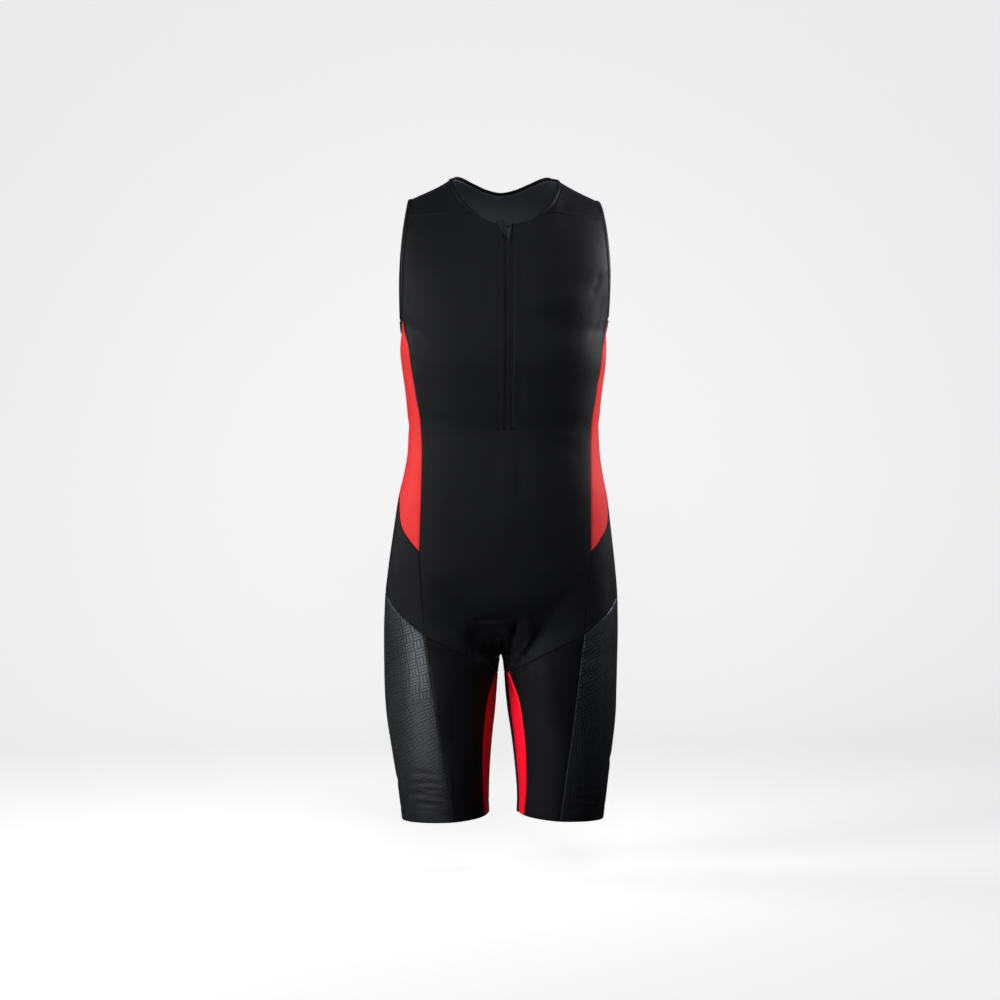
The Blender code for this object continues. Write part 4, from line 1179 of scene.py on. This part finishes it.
print_finish = printed_knit()
for sign, word in ((1, "left"), (-1, "right")):
    upper = side_block(0, sign, thread="red")
    edge_grids["side", sign] = upper[:, ::-1] if sign < 0 else upper
    waist = side_block(1, sign, ("first", "last", "bottom"), "red")
    red = cloth_mesh("side_panel_cloth_" + word, [upper, waist])
    cloth_piece(red, "side_panel_" + word, red_knit)
    hip_top = side_block(2, sign, ("first", "last", "top"))
    hip_foot = side_block(3, sign, ("first", "last", "bottom"))
    hip = cloth_mesh("hip_cloth_" + word, [hip_top, hip_foot])
    cloth_piece(hip, "hip_" + word, black_knit)
    leg = side_block(LEG_BLOCK, sign, ("first", "last", "top"))
    thigh = cloth_mesh("thigh_cloth_" + word, [leg], flattened=wrapped)
    cloth_piece(thigh, "thigh_" + word, print_finish)

# ---------------------------------------------------------------- legs
# Each leg has a black front and a black back piece, and between them in front of the inseam a
# bright inner piece. The hem of every leg piece is turned up 18 mm and sewn with two rows.

# The legs' black is a darker copy of the black knit: painted shade, for the light that falls off below the
# crotch.
leg_knit_painted_shade = knit("suit_leg_knit_painted_shade", (0.0027, 0.0029, 0.0040), (0.0040, 0.0043, 0.0056), 0.54, 0.012)
INNER_RED = ((0.80, 0.004, 0.016), (0.92, 0.010, 0.026))
inner_red_knit = knit("suit_inner_red_knit", *INNER_RED, 0.52, 0.02, (1.0, 0.7, 0.7))
# Beside its seams a leg piece has close columns of its own. Elsewhere it keeps those of the rise, so
# that the two edges meet along the seam below the front.
NEAR_INSEAM = 0.3
FOLD_START = 1.0
leg_columns = INNER_COLUMNS + steps(0.110, first=True, last=True) * (FRONT_COLUMNS - INNER_COLUMNS)
beside = leg_columns[leg_columns < INNER_COLUMNS + NEAR_INSEAM]
leg_columns = np.union1d(beside, RISE_COLUMNS[RISE_COLUMNS > INNER_COLUMNS + NEAR_INSEAM])
inseam_columns = steps(0.060, first=True, last=True) * INNER_COLUMNS
fold_end = INNER_COLUMNS - NEAR_INSEAM
beside = inseam_columns[(inseam_columns < FOLD_START) | (inseam_columns > fold_end)]
between_seams = RISE_COLUMNS[(RISE_COLUMNS > FOLD_START) & (RISE_COLUMNS < fold_end)]
inseam_columns = np.union1d(beside, between_seams)
all_round = ("first", "last", "top")
for sign, word in ((1, "left"), (-1, "right")):
    outer = front_block(LEG_BLOCK, leg_columns, sign, all_round)
    leg_front = cloth_mesh("leg_front_cloth_" + word, [outer])
    cloth_piece(leg_front, "leg_front_" + word, leg_knit_painted_shade)
    inner = front_block(LEG_BLOCK, inseam_columns, sign, all_round, "inner")
    inner_leg = cloth_mesh("inner_leg_cloth_" + word, [inner])
    cloth_piece(inner_leg, "inner_leg_" + word, inner_red_knit)
    leg_back = cloth_mesh("leg_back_cloth_" + word, [back_block(LEG_BLOCK, sign, all_round)])
    cloth_piece(leg_back, "leg_back_" + word, leg_knit_painted_shade)

# ---------------------------------------------------------------- threads
# Beside every seam, and round every hem, runs a line of lock stitches in polyester thread. Each
# stitch is one short rounded bar pressed a little into the knit.

STITCH_PITCH = 0.0034
STITCH_LENGTH = 0.0025
STITCH_RADIUS = 0.00026
STITCH_LIFT = 0.00008
STITCH_RINGS = 5
STITCH_SIDES = 6
STITCH_SPAN = (0.06, 0.94)
LOOK_AHEAD = 0.3


def run_of(line):
    """Distance along a line of points at each of them."""
    return np.concatenate([[0.0], np.cumsum(np.linalg.norm(np.diff(line[:, :3], axis=0), axis=1))])


def taken(at, run, values):
    """The values at distances along a line, straight between its points, which are kept where apart."""
    keep = np.concatenate([[True], np.diff(run) > 1e-7])
    return np.stack([np.interp(at, run[keep], part) for part in values[keep].T], axis=-1)


def along_line(line, out, pitch):
    """Places a pitch apart along a line of points, with the line's direction and the cloth's normal."""
    run = run_of(line)
    at = np.arange(pitch * 0.5, run[-1], pitch)
    ahead = taken(at + pitch * LOOK_AHEAD, run, line)
    behind = taken(at - pitch * LOOK_AHEAD, run, line)
    return taken(at, run, line), unit(ahead - behind), unit(taken(at, run, out))


def ring_faces(rows, around, closed=False):
    """Quads between rings of points that follow each other, and from the last to the first if closed."""
    row = np.arange(rows if closed else rows - 1)[:, None]
    spot = np.arange(around)
    next_row = (row + 1) % rows
    next_spot = (spot + 1) % around
    corners = (row * around + spot, row * around + next_spot, next_row * around + next_spot,
               next_row * around + spot)
    return np.stack(corners, axis=-1).reshape(-1, 4)


def stitch_mesh(name, lines):
    """Stitches along lines: six-sided bars whose radius swells from the ends as the root of a sine."""
    found = [along_line(line, unit(out), STITCH_PITCH) for line, out in lines]
    spot, way, away = (np.concatenate(part) for part in zip(*found))
    side = unit(np.cross(way, away))
    away = np.cross(side, way)
    s = np.linspace(*STITCH_SPAN, STITCH_RINGS)
    turn = np.arange(STITCH_SIDES) * 2 * np.pi / STITCH_SIDES
    radius = STITCH_RADIUS * np.sqrt(np.sin(np.pi * s))
    reach = (s - 0.5) * STITCH_LENGTH
    sink = STITCH_LIFT - STITCH_RADIUS * 1.2 * (2 * s - 1) ** 4
    points = (spot[:, None, None] + way[:, None, None] * reach[:, None, None]
              + away[:, None, None] * (sink[:, None] + radius[:, None] * np.sin(turn))[..., None]
              + side[:, None, None] * (radius[:, None] * np.cos(turn))[..., None])
    cap = np.array([[0, 1, 2, 3], [0, 3, 4, 5]])
    last = (STITCH_RINGS - 1) * STITCH_SIDES
    quads = np.concatenate([ring_faces(STITCH_RINGS, STITCH_SIDES)[:, ::-1], cap, cap[:, ::-1] + last])
    first = STITCH_RINGS * STITCH_SIDES * np.arange(len(spot))
    faces = (quads + first[:, None, None]).reshape(-1, 4)
    return mesh_object(name, points.reshape(-1, 3), faces)


def thread_finish(name, colour):
    """Twisted polyester thread: a soft gloss, its plies as fine noise."""
    finish = Finish(name, colour)
    ply = finish.noise(scale=2500.0, detail=1.0)
    shade = finish.blend(ply, [part * 0.8 for part in colour], [part * 1.15 for part in colour])
    return finish.done(
        Base_Color=shade,
        Roughness=0.5 + ply * 0.1,
        Specular_IOR_Level=0.15,
        Normal=finish.bump(ply, depth=0.00004, strength=0.5),
    )


THREADS = (
    ("black", "seam_threads_black", "black_knit", (0.0060, 0.0063, 0.0082)),
    ("red", "seam_threads_side", "red_knit", (0.80, 0.030, 0.030)),
    ("inner", "seam_threads_inner", "inner_red_knit", (0.60, 0.006, 0.016)),
)
for key, name, slot, colour in THREADS:
    fitted(stitch_mesh(name, threads[key]), thread_finish(name + "_finish", colour))

# ---------------------------------------------------------------- bindings
# The neck and the armholes are edged with a strip of thin black knit, folded in half over the raw
# edge and sewn through, 5 mm wide and a little over 2 mm thick.

BINDING_WIDTH = 0.005
BINDING_THICKNESS = 0.0023
BINDING_OVERLAP = 0.0009
BINDING_STEP = 0.003
BINDING_STRIPE = 0.0006
BINDING_GROOVE = 0.0004
# material of each face round the section: 0 the binding's knit, 1 the reverse, a line on the inside
BINDING_SIDES = [0] * 11 + [1] * 2 + [0] * 7
# points in from the edge, across a strap and down a side, that give the cloth's way inwards
STRAP_INWARD = 3
SIDE_INWARD = 2


def resampled(line, pitch, closed):
    """The line at even steps of about a pitch."""
    if closed:
        line = np.concatenate([line, line[:1]])
    run = run_of(line)
    at = np.linspace(0.0, run[-1], int(run[-1] / pitch) + 1)
    return taken(at[:-1] if closed else at, run, line)


def differences(values, closed):
    """Differences from the point behind to the point ahead, round the end on a closed line."""
    if closed:
        return np.roll(values, -1, axis=0) - np.roll(values, 1, axis=0)
    return np.gradient(values, axis=0)


def binding(name, edge, inner, closed, finish):
    """A folded strip along an edge: a rounded flat section carried along it, away from the cloth.

    The section is a superellipse that reaches from just over the cloth's edge to the fold, with a
    groove for the stitches. Its UV map is the distance along the edge and round the section. Also
    gives the line of the stitches and their outward direction.
    """
    both = resampled(np.concatenate([edge, inner], axis=1), BINDING_STEP, closed)
    edge, inner = both[:, :3], both[:, 3:]
    along = unit(differences(edge, closed))
    away = edge - inner
    away = unit(away - along * (away * along).sum(-1, keepdims=True))
    face = np.cross(along, away)
    around = len(BINDING_SIDES)
    turn = np.arange(around) * 2 * np.pi / around
    half = (BINDING_WIDTH + BINDING_OVERLAP) / 2
    reach = half - BINDING_OVERLAP + half * np.sign(np.cos(turn)) * np.abs(np.cos(turn)) ** 0.7
    level = BINDING_THICKNESS / 2 * np.sign(np.sin(turn)) * np.abs(np.sin(turn)) ** 0.8
    level = level * (1.0 - 0.16 * np.exp(-((reach - BINDING_GROOVE) / BINDING_STRIPE) ** 2))
    points = edge[:, None] + away[:, None] * reach[:, None] + face[:, None] * level[:, None]
    faces = ring_faces(len(edge), around, closed)
    corner = np.stack([faces[:, 0] // around * BINDING_STEP, faces[:, 0] % around * BINDING_STRIPE], axis=-1)
    sides = np.array([[0, 0], [0, BINDING_STRIPE], [BINDING_STEP, BINDING_STRIPE], [BINDING_STEP, 0]])
    flat = (corner[:, None] + sides).reshape(-1, 2)
    made = mesh_object(name + "_cloth", points.reshape(-1, 3), faces, flat)
    mended(made, closed=not closed, outward=True)
    fitted(made, finish, name)
    made.data.materials.append(reverse_knit_painted_light)
    made.data.polygons.foreach_set("material_index", np.resize(BINDING_SIDES, len(made.data.polygons)))
    stitched = edge + away * BINDING_GROOVE + face * BINDING_THICKNESS * 0.46
    return stitched, face


BINDING_RIB = 0.0009


def binding_knit():
    """Fine black knit, rib across the strip, with a low gloss."""
    finish = Finish("suit_binding_knit", (0.012, 0.013, 0.016))
    across, _, _ = finish.split(finish.flat)
    rib = (across * (math.pi / BINDING_RIB)).math("SINE").math("ABSOLUTE")
    drift = finish.noise(scale=40.0)
    return finish.done(
        Base_Color=finish.blend(drift, (0.0050, 0.0052, 0.0068), (0.0080, 0.0084, 0.0105)),
        Roughness=0.46 + drift * 0.1,
        Specular_IOR_Level=0.12,
        Sheen_Weight=0.03,
        Sheen_Roughness=0.35,
        Normal=finish.bump(rib + finish.noise(scale=800.0) * 0.4, depth=0.0001, strength=0.5),
    )


binding_finish = binding_knit()
edge_threads = []
neck = {}
for sign, word in ((1, "left"), (-1, "right")):
    # columns of a strap: the neck edge, in from it, in from the armhole, and the armhole's edge
    ends = [0, STRAP_INWARD, -1 - STRAP_INWARD, -1]
    strap = np.concatenate([edge_grids["front", sign][:, ends], edge_grids["back", sign][1:, ends]])
    side = edge_grids["side", sign][:, ::-1]
    edge = np.concatenate([strap[:, 3], side[0, 1:-1]])
    inner = np.concatenate([strap[:, 2], side[SIDE_INWARD, 1:-1]])
    edge_threads.append(binding("armhole_binding_" + word, edge, inner, True, binding_finish))
    neck[sign] = strap[NECK_FIRST:NECK_LAST + 1, :2]
edge, inner = np.concatenate([neck[1], neck[-1][-2::-1]]).transpose(1, 0, 2)
edge_threads.append(binding("neck_binding", edge, inner, False, binding_finish))
binding_threads = thread_finish("binding_threads_finish", (0.008, 0.0084, 0.010))
fitted(stitch_mesh("binding_threads", edge_threads), binding_threads)

# ---------------------------------------------------------------- zip
# Behind the slit lie the two woven tapes of a fine nylon zip, each with a raised cord beside its
# coil. The coils meet down the middle, and a small fold of knit covers the top end on the wearer's
# right.

ZIP_TAPE_INNER = 0.0016
ZIP_TAPE_OUTER = 0.0130
TAPE_THICKNESS = 0.0006
ZIP_TOP_Z = -0.0610
TAPE_END = 0.006
TAPE_LEVEL = -(CLOTH / 2 + 0.0009)
TAPE_RIB = 0.0011
TAPE_BONE = 0.0012
TAPE_ROWS = 90
TAPE_COLUMNS = 40
CORD_X = 0.0040
CORD_HALF = 0.0005
CORD_RISE = 0.0008
COIL_PITCH = 0.0013
COIL_HALF = 0.0021
COIL_WIRE = 0.00042
COIL_STEPS = 10
WIRE_SIDES = 6
SLOPE_STEP = 0.001


def front_face(x, z, out):
    """Points on the front's form at x and height z above the hip, moved out along the normal.

    The depth is the superellipse of the torso's section times the fall to the shoulder, and the
    normal leans by its slope over the height.
    """
    x, z = np.broadcast_arrays(np.asarray(x, float), np.asarray(z, float))

    def depth(level):
        """Place of the front along Y at a height."""
        share = (1.0 - (np.abs(x) / torso_half_width(level)) ** TORSO_POWER) ** (1 / TORSO_POWER)
        return -column(TORSO, level, 2) * share * shoulder_fall(x, level)

    slope = (depth(z + SLOPE_STEP) - depth(z - SLOPE_STEP)) / (2 * SLOPE_STEP)
    normal = unit(np.stack([np.zeros_like(x), -np.ones_like(x), slope], axis=-1))
    return np.stack([x, depth(z), z], axis=-1) + normal * np.asarray(out)[..., None]


def tape_finish():
    """Woven zip tape: dark grey, a herringbone of fine ribs as bump."""
    finish = Finish("suit_zip_tape", (0.045, 0.048, 0.056))
    across, down, _ = finish.split(finish.flat)
    slant = down + across.math("PINGPONG", TAPE_BONE) * 0.8
    rib = (slant * (2 * math.pi / TAPE_RIB)).math("SINE") * 0.5 + 0.5
    weave = finish.noise(scale=500.0)
    return finish.done(
        Base_Color=finish.blend(rib * 0.6 + weave * 0.4, (0.0050, 0.0054, 0.0070), (0.0105, 0.0112, 0.0140)),
        Roughness=0.5 + weave * 0.12,
        Specular_IOR_Level=0.12,
        Normal=finish.bump(rib, depth=0.00012, strength=0.6),
    )


tape_material = tape_finish()
tape_rows = np.linspace(ZIP_TOP_Z, ZIP_BOTTOM_Z - TAPE_END, TAPE_ROWS)[:, None]
tape_columns = np.linspace(ZIP_TAPE_INNER, ZIP_TAPE_OUTER, TAPE_COLUMNS)
cord = CORD_RISE * np.exp(-((tape_columns - CORD_X) / CORD_HALF) ** 2)
for sign, word in ((1, "left"), (-1, "right")):
    level = TAPE_LEVEL + TAPE_THICKNESS / 2 + cord[::sign] + 0 * tape_rows
    tape = leaned(front_face(sign * tape_columns[::sign], tape_rows, level))
    made = cloth_mesh("zip_tape_weave_" + word, [tape], TAPE_THICKNESS)
    cloth_piece(made, "zip_tape_" + word, tape_material)


def coil_mesh():
    """The two coils, each a wire wound as a flat spiral along the tape's edge, meeting in the middle.

    The wire's path is an ellipse in the section, half a pitch apart left and right, and a round
    section of the wire is carried along it.
    """
    points = []
    faces = []
    count = int((ZIP_TOP_Z - ZIP_BOTTOM_Z) / COIL_PITCH * COIL_STEPS)
    turn = np.arange(count) / COIL_STEPS
    phase = 2 * np.pi * turn
    ring = np.arange(WIRE_SIDES) * 2 * np.pi / WIRE_SIDES
    for number, sign in enumerate((1, -1)):
        x = sign * (COIL_HALF * 0.47 + COIL_HALF * 0.56 * np.cos(phase))
        out = TAPE_LEVEL + TAPE_THICKNESS / 2 + COIL_WIRE * 0.6 + COIL_WIRE * 1.1 * np.sin(phase)
        z = ZIP_TOP_Z - COIL_PITCH * (turn + 0.25 * (1 + sign))
        path = leaned(front_face(x, z, out))
        way = unit(np.gradient(path, axis=0))
        side = unit(np.cross(way, np.array([0.0, 0.0, 1.0])))
        up = np.cross(side, way)
        section = side[:, None] * np.cos(ring)[:, None] + up[:, None] * np.sin(ring)[:, None]
        points.append((path[:, None] + COIL_WIRE * section).reshape(-1, 3))
        faces.append(ring_faces(count, WIRE_SIDES)[:, ::-1] + number * count * WIRE_SIDES)
    return mesh_object("zip_coil_wire", np.concatenate(points), np.concatenate(faces))


def nylon(name, dark, light):
    """Drawn nylon, dark and softly glossy, dulled in patches."""
    finish = Finish(name, light)
    wear = finish.noise(scale=300.0, detail=3.0)
    return finish.done(
        Base_Color=finish.blend(wear, dark, light),
        Roughness=0.34 + wear * 0.14,
        Specular_IOR_Level=0.2,
        Normal=finish.bump(wear, depth=0.00003, strength=0.4),
    )


coil_nylon = nylon("suit_zip_coil", (0.0060, 0.0065, 0.0085), (0.0120, 0.0128, 0.0160))
fitted(coil_mesh(), coil_nylon, "zip_coil")

# distance from the middle, height: the top edge of the fold over the zip's end, and its foot
GARAGE_TOP = (
    (-0.0183, -0.0600),
    (-0.0145, -0.0555),
    (-0.0100, -0.0540),
    (-0.0065, -0.0556),
    (-0.0046, -0.0596),
)
GARAGE_FOOT = (
    (-0.0098, -0.0735),
    (-0.0076, -0.0765),
    (-0.0055, -0.0795),
    (-0.0034, -0.0820),
    (-0.0016, -0.0832),
)
GARAGE_PLEATS = 3.0
GARAGE_PLEAT_RISE = 0.0009
GARAGE_LIFT = 0.0030
GARAGE_LEVEL = 0.0009
GARAGE_THICKNESS = 0.0007
GARAGE_ROWS = 33
GARAGE_COLUMNS = 49


def garage_mesh():
    """The knit fold over the zip's end: a fan of three pleats from an arched top edge to its foot.

    Top and foot edges are smooth curves through the named points; between them the sheet stands off
    the neck edge, and its pleats are a cosine across that fades at the top.
    """
    across = np.linspace(0.0, 1.0, GARAGE_COLUMNS)
    down = np.linspace(0.0, 1.0, GARAGE_ROWS)[:, None]
    stops = np.linspace(0.0, 1.0, len(GARAGE_TOP))
    ends = []
    for edge in (GARAGE_TOP, GARAGE_FOOT):
        pairs = np.column_stack([stops, np.array(edge)]).tolist()
        ends.append((column(pairs, across, 1), column(pairs, across, 2)))
    x = ends[0][0] * (1 - down) + ends[1][0] * down
    z = ends[0][1] * (1 - down) + ends[1][1] * down
    pleat = np.cos(2 * np.pi * GARAGE_PLEATS * across) * smooth(down * 2.2) * (1 - 0.45 * down)
    rim = np.sin(np.pi * across) ** 0.5
    lift = GARAGE_LIFT * rim * (1 - 0.55 * down) * (1 - (1 - down) ** 6)
    level = GARAGE_LEVEL + lift + GARAGE_PLEAT_RISE * pleat
    return cloth_mesh("zip_garage_cloth", [leaned(front_face(x, z, level))], GARAGE_THICKNESS)


garage_knit = knit("suit_garage_knit", (0.014, 0.015, 0.018), (0.022, 0.0235, 0.028), 0.5, 0.04)
cloth_piece(garage_mesh(), "zip_garage", garage_knit)

TACK_PLACES = (-0.0075, 0.0075)
TACK_Z = -0.3655
TACK_LENGTH = 0.0050
TACK_ROWS = 8
TACK_PITCH = 0.0007


def bar_tacks():
    """Two bar tacks at the foot of the zip: close rows of level stitches, one above the other."""
    lines = []
    for x in TACK_PLACES:
        for row in range(TACK_ROWS):
            across = np.linspace(x - TACK_LENGTH / 2, x + TACK_LENGTH / 2, 5)
            spots = leaned(front_face(across, TACK_Z + TACK_PITCH * row, CLOTH / 2))
            lines.append((spots, np.tile([0.0, -1.0, 0.0], (len(across), 1))))
    return stitch_mesh("zip_tacks", lines)


fitted(bar_tacks(), thread_finish("zip_tacks_finish", (0.014, 0.015, 0.018)))

# ---------------------------------------------------------------- slider and pull
# The slider is a small die-cast body in dark grey enamel, held at the neck edge, and its pull is a
# flat tapering tab with raised rims that hangs from the slider's arch.

SLIDER_BEVEL = 0.00028
CAD_WELD = 0.000005
FLAT_WITHIN = math.radians(2)


def enamel(name, dark, light):
    """Dark enamel over cast metal, worn a little brighter in specks."""
    finish = Finish(name, light)
    wear = finish.noise(scale=420.0, detail=3.0, rough=0.6)
    specks = wear.step(edge=0.64, soft=0.08)
    colour = finish.blend(wear, dark, light)
    return finish.done(
        Base_Color=finish.blend(specks * 0.3, colour, (0.05, 0.053, 0.06)),
        Roughness=0.38 + wear * 0.14,
        Metallic=0.1,
        Specular_IOR_Level=0.2,
        Normal=finish.bump(wear, depth=0.00003, strength=0.35),
    )


slider_enamel = enamel("suit_slider_enamel", (0.0060, 0.0065, 0.0085), (0.0120, 0.0130, 0.0160))


def softened(node, name):
    """A copy of a CAD node with its points made one and its edges rounded by a bevel."""
    made = bpy.data.objects.new(name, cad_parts[node].data.copy())
    bpy.context.scene.collection.objects.link(made)
    mended(made, merge=CAD_WELD, level=FLAT_WITHIN, outward=True)
    made.data.polygons.foreach_set("use_smooth", np.zeros(len(made.data.polygons), bool))
    rounded = made.modifiers.new("edges", "BEVEL")
    rounded.width = SLIDER_BEVEL
    rounded.segments = 2
    rounded.limit_method = "ANGLE"
    made.data.materials.clear()
    return made


for node, name, body in (("zip_slider", "zip_slider_body", "suit"), ("zip_pull", "zip_pull_tab", "pull")):
    fitted(softened(node, name), slider_enamel, node, body)

# ---------------------------------------------------------------- pad
# Inside the rise lies a seamless pad of brushed knit over foam, about 4 mm thick, thicker down its
# two lobes and moulded with a channel along the middle.

PAD_THICKNESS = 0.004
PAD_CLEARANCE = 0.0027
PAD_HALF_WIDTH = 0.045
PAD_CURL = 0.003
PAD_TURNS = (22.0, 152.0)
# share of a fold's depth by which the pad gives way
DENT_SHARE = 1.2
CHANNEL_WIDTH = 0.004
CHANNEL_SHARE = 0.35
PAD_ROWS = 72
PAD_COLUMNS = 41


def pad_faces():
    """The pad's two faces, as grids that meet at the rim. Its middle follows the rise on a circle.

    It gives way by the depth of the cloth's folds over it. Thickness is even across each lobe and
    less along the middle, and closes to nothing at the rim as a square root.
    """
    turn = np.linspace(*PAD_TURNS, PAD_ROWS)
    end = (turn - PAD_TURNS[0]) / (PAD_TURNS[1] - PAD_TURNS[0])
    half = PAD_HALF_WIDTH * (0.55 + 0.45 * np.sin(np.pi * end) ** 0.6)
    across = np.sin(np.linspace(-np.pi / 2, np.pi / 2, PAD_COLUMNS))
    x = half[:, None] * across
    angle = np.radians(turn)[:, None] + 0 * x
    z = RISE_TOP_Z - (RISE_TOP_Z - CROTCH_Z) * np.sin(angle)
    behind = angle > np.pi / 2
    ring = ring_at_x(np.abs(x), z)
    rise = form(np.where(behind, 1.0, 0.0), z)[..., 1]
    wall = form(np.where(behind, 1.0 - ring, ring), z)[..., 1]
    edge = np.where(behind, np.minimum(wall, rise), np.maximum(wall, rise))
    inset = CLOTH / 2 + PAD_CLEARANCE + PAD_THICKNESS / 2 + PAD_CURL * (x / PAD_HALF_WIDTH) ** 2
    middle = np.stack([x, edge + inset * np.cos(angle), z + inset * np.abs(np.sin(angle))], axis=-1)
    out = unit(np.stack([0 * x, -np.cos(angle), -np.sin(angle)], axis=-1))
    dent = np.minimum(fold_height(middle + out * inset[..., None], folds), 0.0) * DENT_SHARE
    middle = middle + out * dent[..., None]
    lengthwise = np.minimum(1.0, np.sqrt(np.clip(np.sin(np.pi * end) * 6, 0.0, 1.0)))[:, None]
    thick = PAD_THICKNESS / 2 * lengthwise * np.sqrt(np.maximum(1 - across ** 8, 0.0))
    thick = thick * (1 - CHANNEL_SHARE * np.exp(-(x / CHANNEL_WIDTH) ** 2))
    return leaned(middle + out * thick[..., None]), leaned(middle - out * thick[..., None])


def fleece(name):
    """Brushed knit: a matt nap of fine noise with a strong sheen."""
    finish = Finish(name, (0.03, 0.032, 0.04))
    nap = finish.noise(scale=900.0, detail=4.0, rough=0.7)
    return finish.done(
        Base_Color=finish.blend(nap, (0.022, 0.024, 0.030), (0.045, 0.048, 0.058)),
        Roughness=0.78 + nap * 0.12,
        Sheen_Weight=0.4,
        Normal=finish.bump(nap, depth=0.0002, strength=0.6),
    )


outer, inner = pad_faces()
pad = mended(joined_mesh("pad_foam", [outer, inner[:, ::-1]]), closed=True, outward=True)
fitted(pad, fleece("suit_pad_fleece"), "pad")

# ---------------------------------------------------------------- stage
# A white cove under and behind the suit, large soft lights, and the camera of the photograph.

FLOOR_Z = -1.02
COVE_FRONT = -7.0
COVE_BACK = 3.2
COVE_HEIGHT = 6.0
COVE_RADIUS = 1.4
COVE_HALF = 7.0
CAMERA_DISTANCE = 3.5
CAMERA_TURN = 4.0
CAMERA_Z = -0.465
CAMERA_LENS = 84.0
CAMERA_SENSOR = 36.0
AIM_X = -0.0054
WORLD_LIGHT = 0.006
# place, height aimed at, width, height, spread in degrees, power
LIGHTS = (
    ((-2.85, -1.65, -0.2), -0.55, 1.3, 1.3, 120.0, 26.0),
    ((-0.2, -2.8, 0.2), -0.20, 1.0, 1.0, 30.0, 1.15),
    ((0.2, -1.6, 2.0), 0.0, 0.8, 0.8, 36.0, 0.85),
    ((2.2, -1.0, 0.9), 0.12, 1.5, 1.5, 34.0, 1.4),
    ((-1.8, -1.8, -0.84), -0.84, 0.08, 0.24, 7.0, 0.125),
    ((-1.9, 0.7, 0.1), -0.25, 0.9, 0.9, 60.0, 2.0),
    ((1.9, 0.7, 0.4), -0.05, 0.9, 0.9, 45.0, 4.0),
)


def cove():
    """Floor and wall in one sheet: level, then a quarter circle, then upright."""
    bend = np.linspace(0.0, np.pi / 2, 24)
    y = np.concatenate([[COVE_FRONT], COVE_BACK - COVE_RADIUS + COVE_RADIUS * np.sin(bend), [COVE_BACK]])
    z = np.concatenate([[0.0], COVE_RADIUS * (1 - np.cos(bend)), [COVE_HEIGHT]]) + FLOOR_Z
    x = np.array([-COVE_HALF, COVE_HALF])
    points = np.stack(np.broadcast_arrays(x, y[:, None], z[:, None]), axis=-1)
    k = np.arange(len(y) - 1) * 2
    faces = np.stack([k, k + 1, k + 3, k + 2], axis=-1)
    return mesh_object("cove", points.reshape(-1, 3), faces)


def paper(name):
    """White paper with a faint grain, lit evenly from itself."""
    finish = Finish(name, (0.93, 0.93, 0.93))
    return finish.done(
        Base_Color=finish.blend(finish.noise(scale=14.0), (0.93, 0.93, 0.93), (0.96, 0.96, 0.96)),
        Roughness=0.9,
        Emission_Color=(1.0, 1.0, 1.0),
        Emission_Strength=0.75,
    )


backdrop = cove()
backdrop.data.materials.append(paper("pale_paper"))
backdrop.visible_diffuse = False
backdrop.visible_glossy = False


def point_at(made, spot):
    """Turn a lamp or camera so that its -Z looks at a spot, and put it in the scene."""
    aim = mathutils.Vector(spot) - made.location
    made.rotation_euler = aim.to_track_quat("-Z", "Y").to_euler()
    bpy.context.scene.collection.objects.link(made)


for number, (place, height, wide, tall, spread, power) in enumerate(LIGHTS):
    lamp = bpy.data.lights.new("soft_light_%d" % number, "AREA")
    lamp.energy = power
    lamp.shape = "RECTANGLE"
    lamp.size = wide
    lamp.size_y = tall
    lamp.spread = math.radians(spread)
    holder = bpy.data.objects.new("soft_light_%d" % number, lamp)
    holder.location = place
    point_at(holder, (0.0, 0.0, height))

world = bpy.data.worlds.new("studio")
world.use_nodes = True
glow = world.node_tree.nodes["Background"]
glow.inputs["Color"].default_value = (1.0, 1.0, 1.0, 1.0)
glow.inputs["Strength"].default_value = WORLD_LIGHT
bpy.context.scene.world = world
bpy.context.scene.view_settings.view_transform = "Standard"

lens = bpy.data.cameras.new("camera")
lens.lens = CAMERA_LENS
lens.sensor_width = CAMERA_SENSOR
camera = bpy.data.objects.new("camera", lens)
turn = math.radians(CAMERA_TURN)
camera.location = (-CAMERA_DISTANCE * math.sin(turn), -CAMERA_DISTANCE * math.cos(turn), CAMERA_Z)
point_at(camera, (AIM_X, 0.0, CAMERA_Z))
bpy.context.scene.camera = camera

bpy.context.view_layer.update()
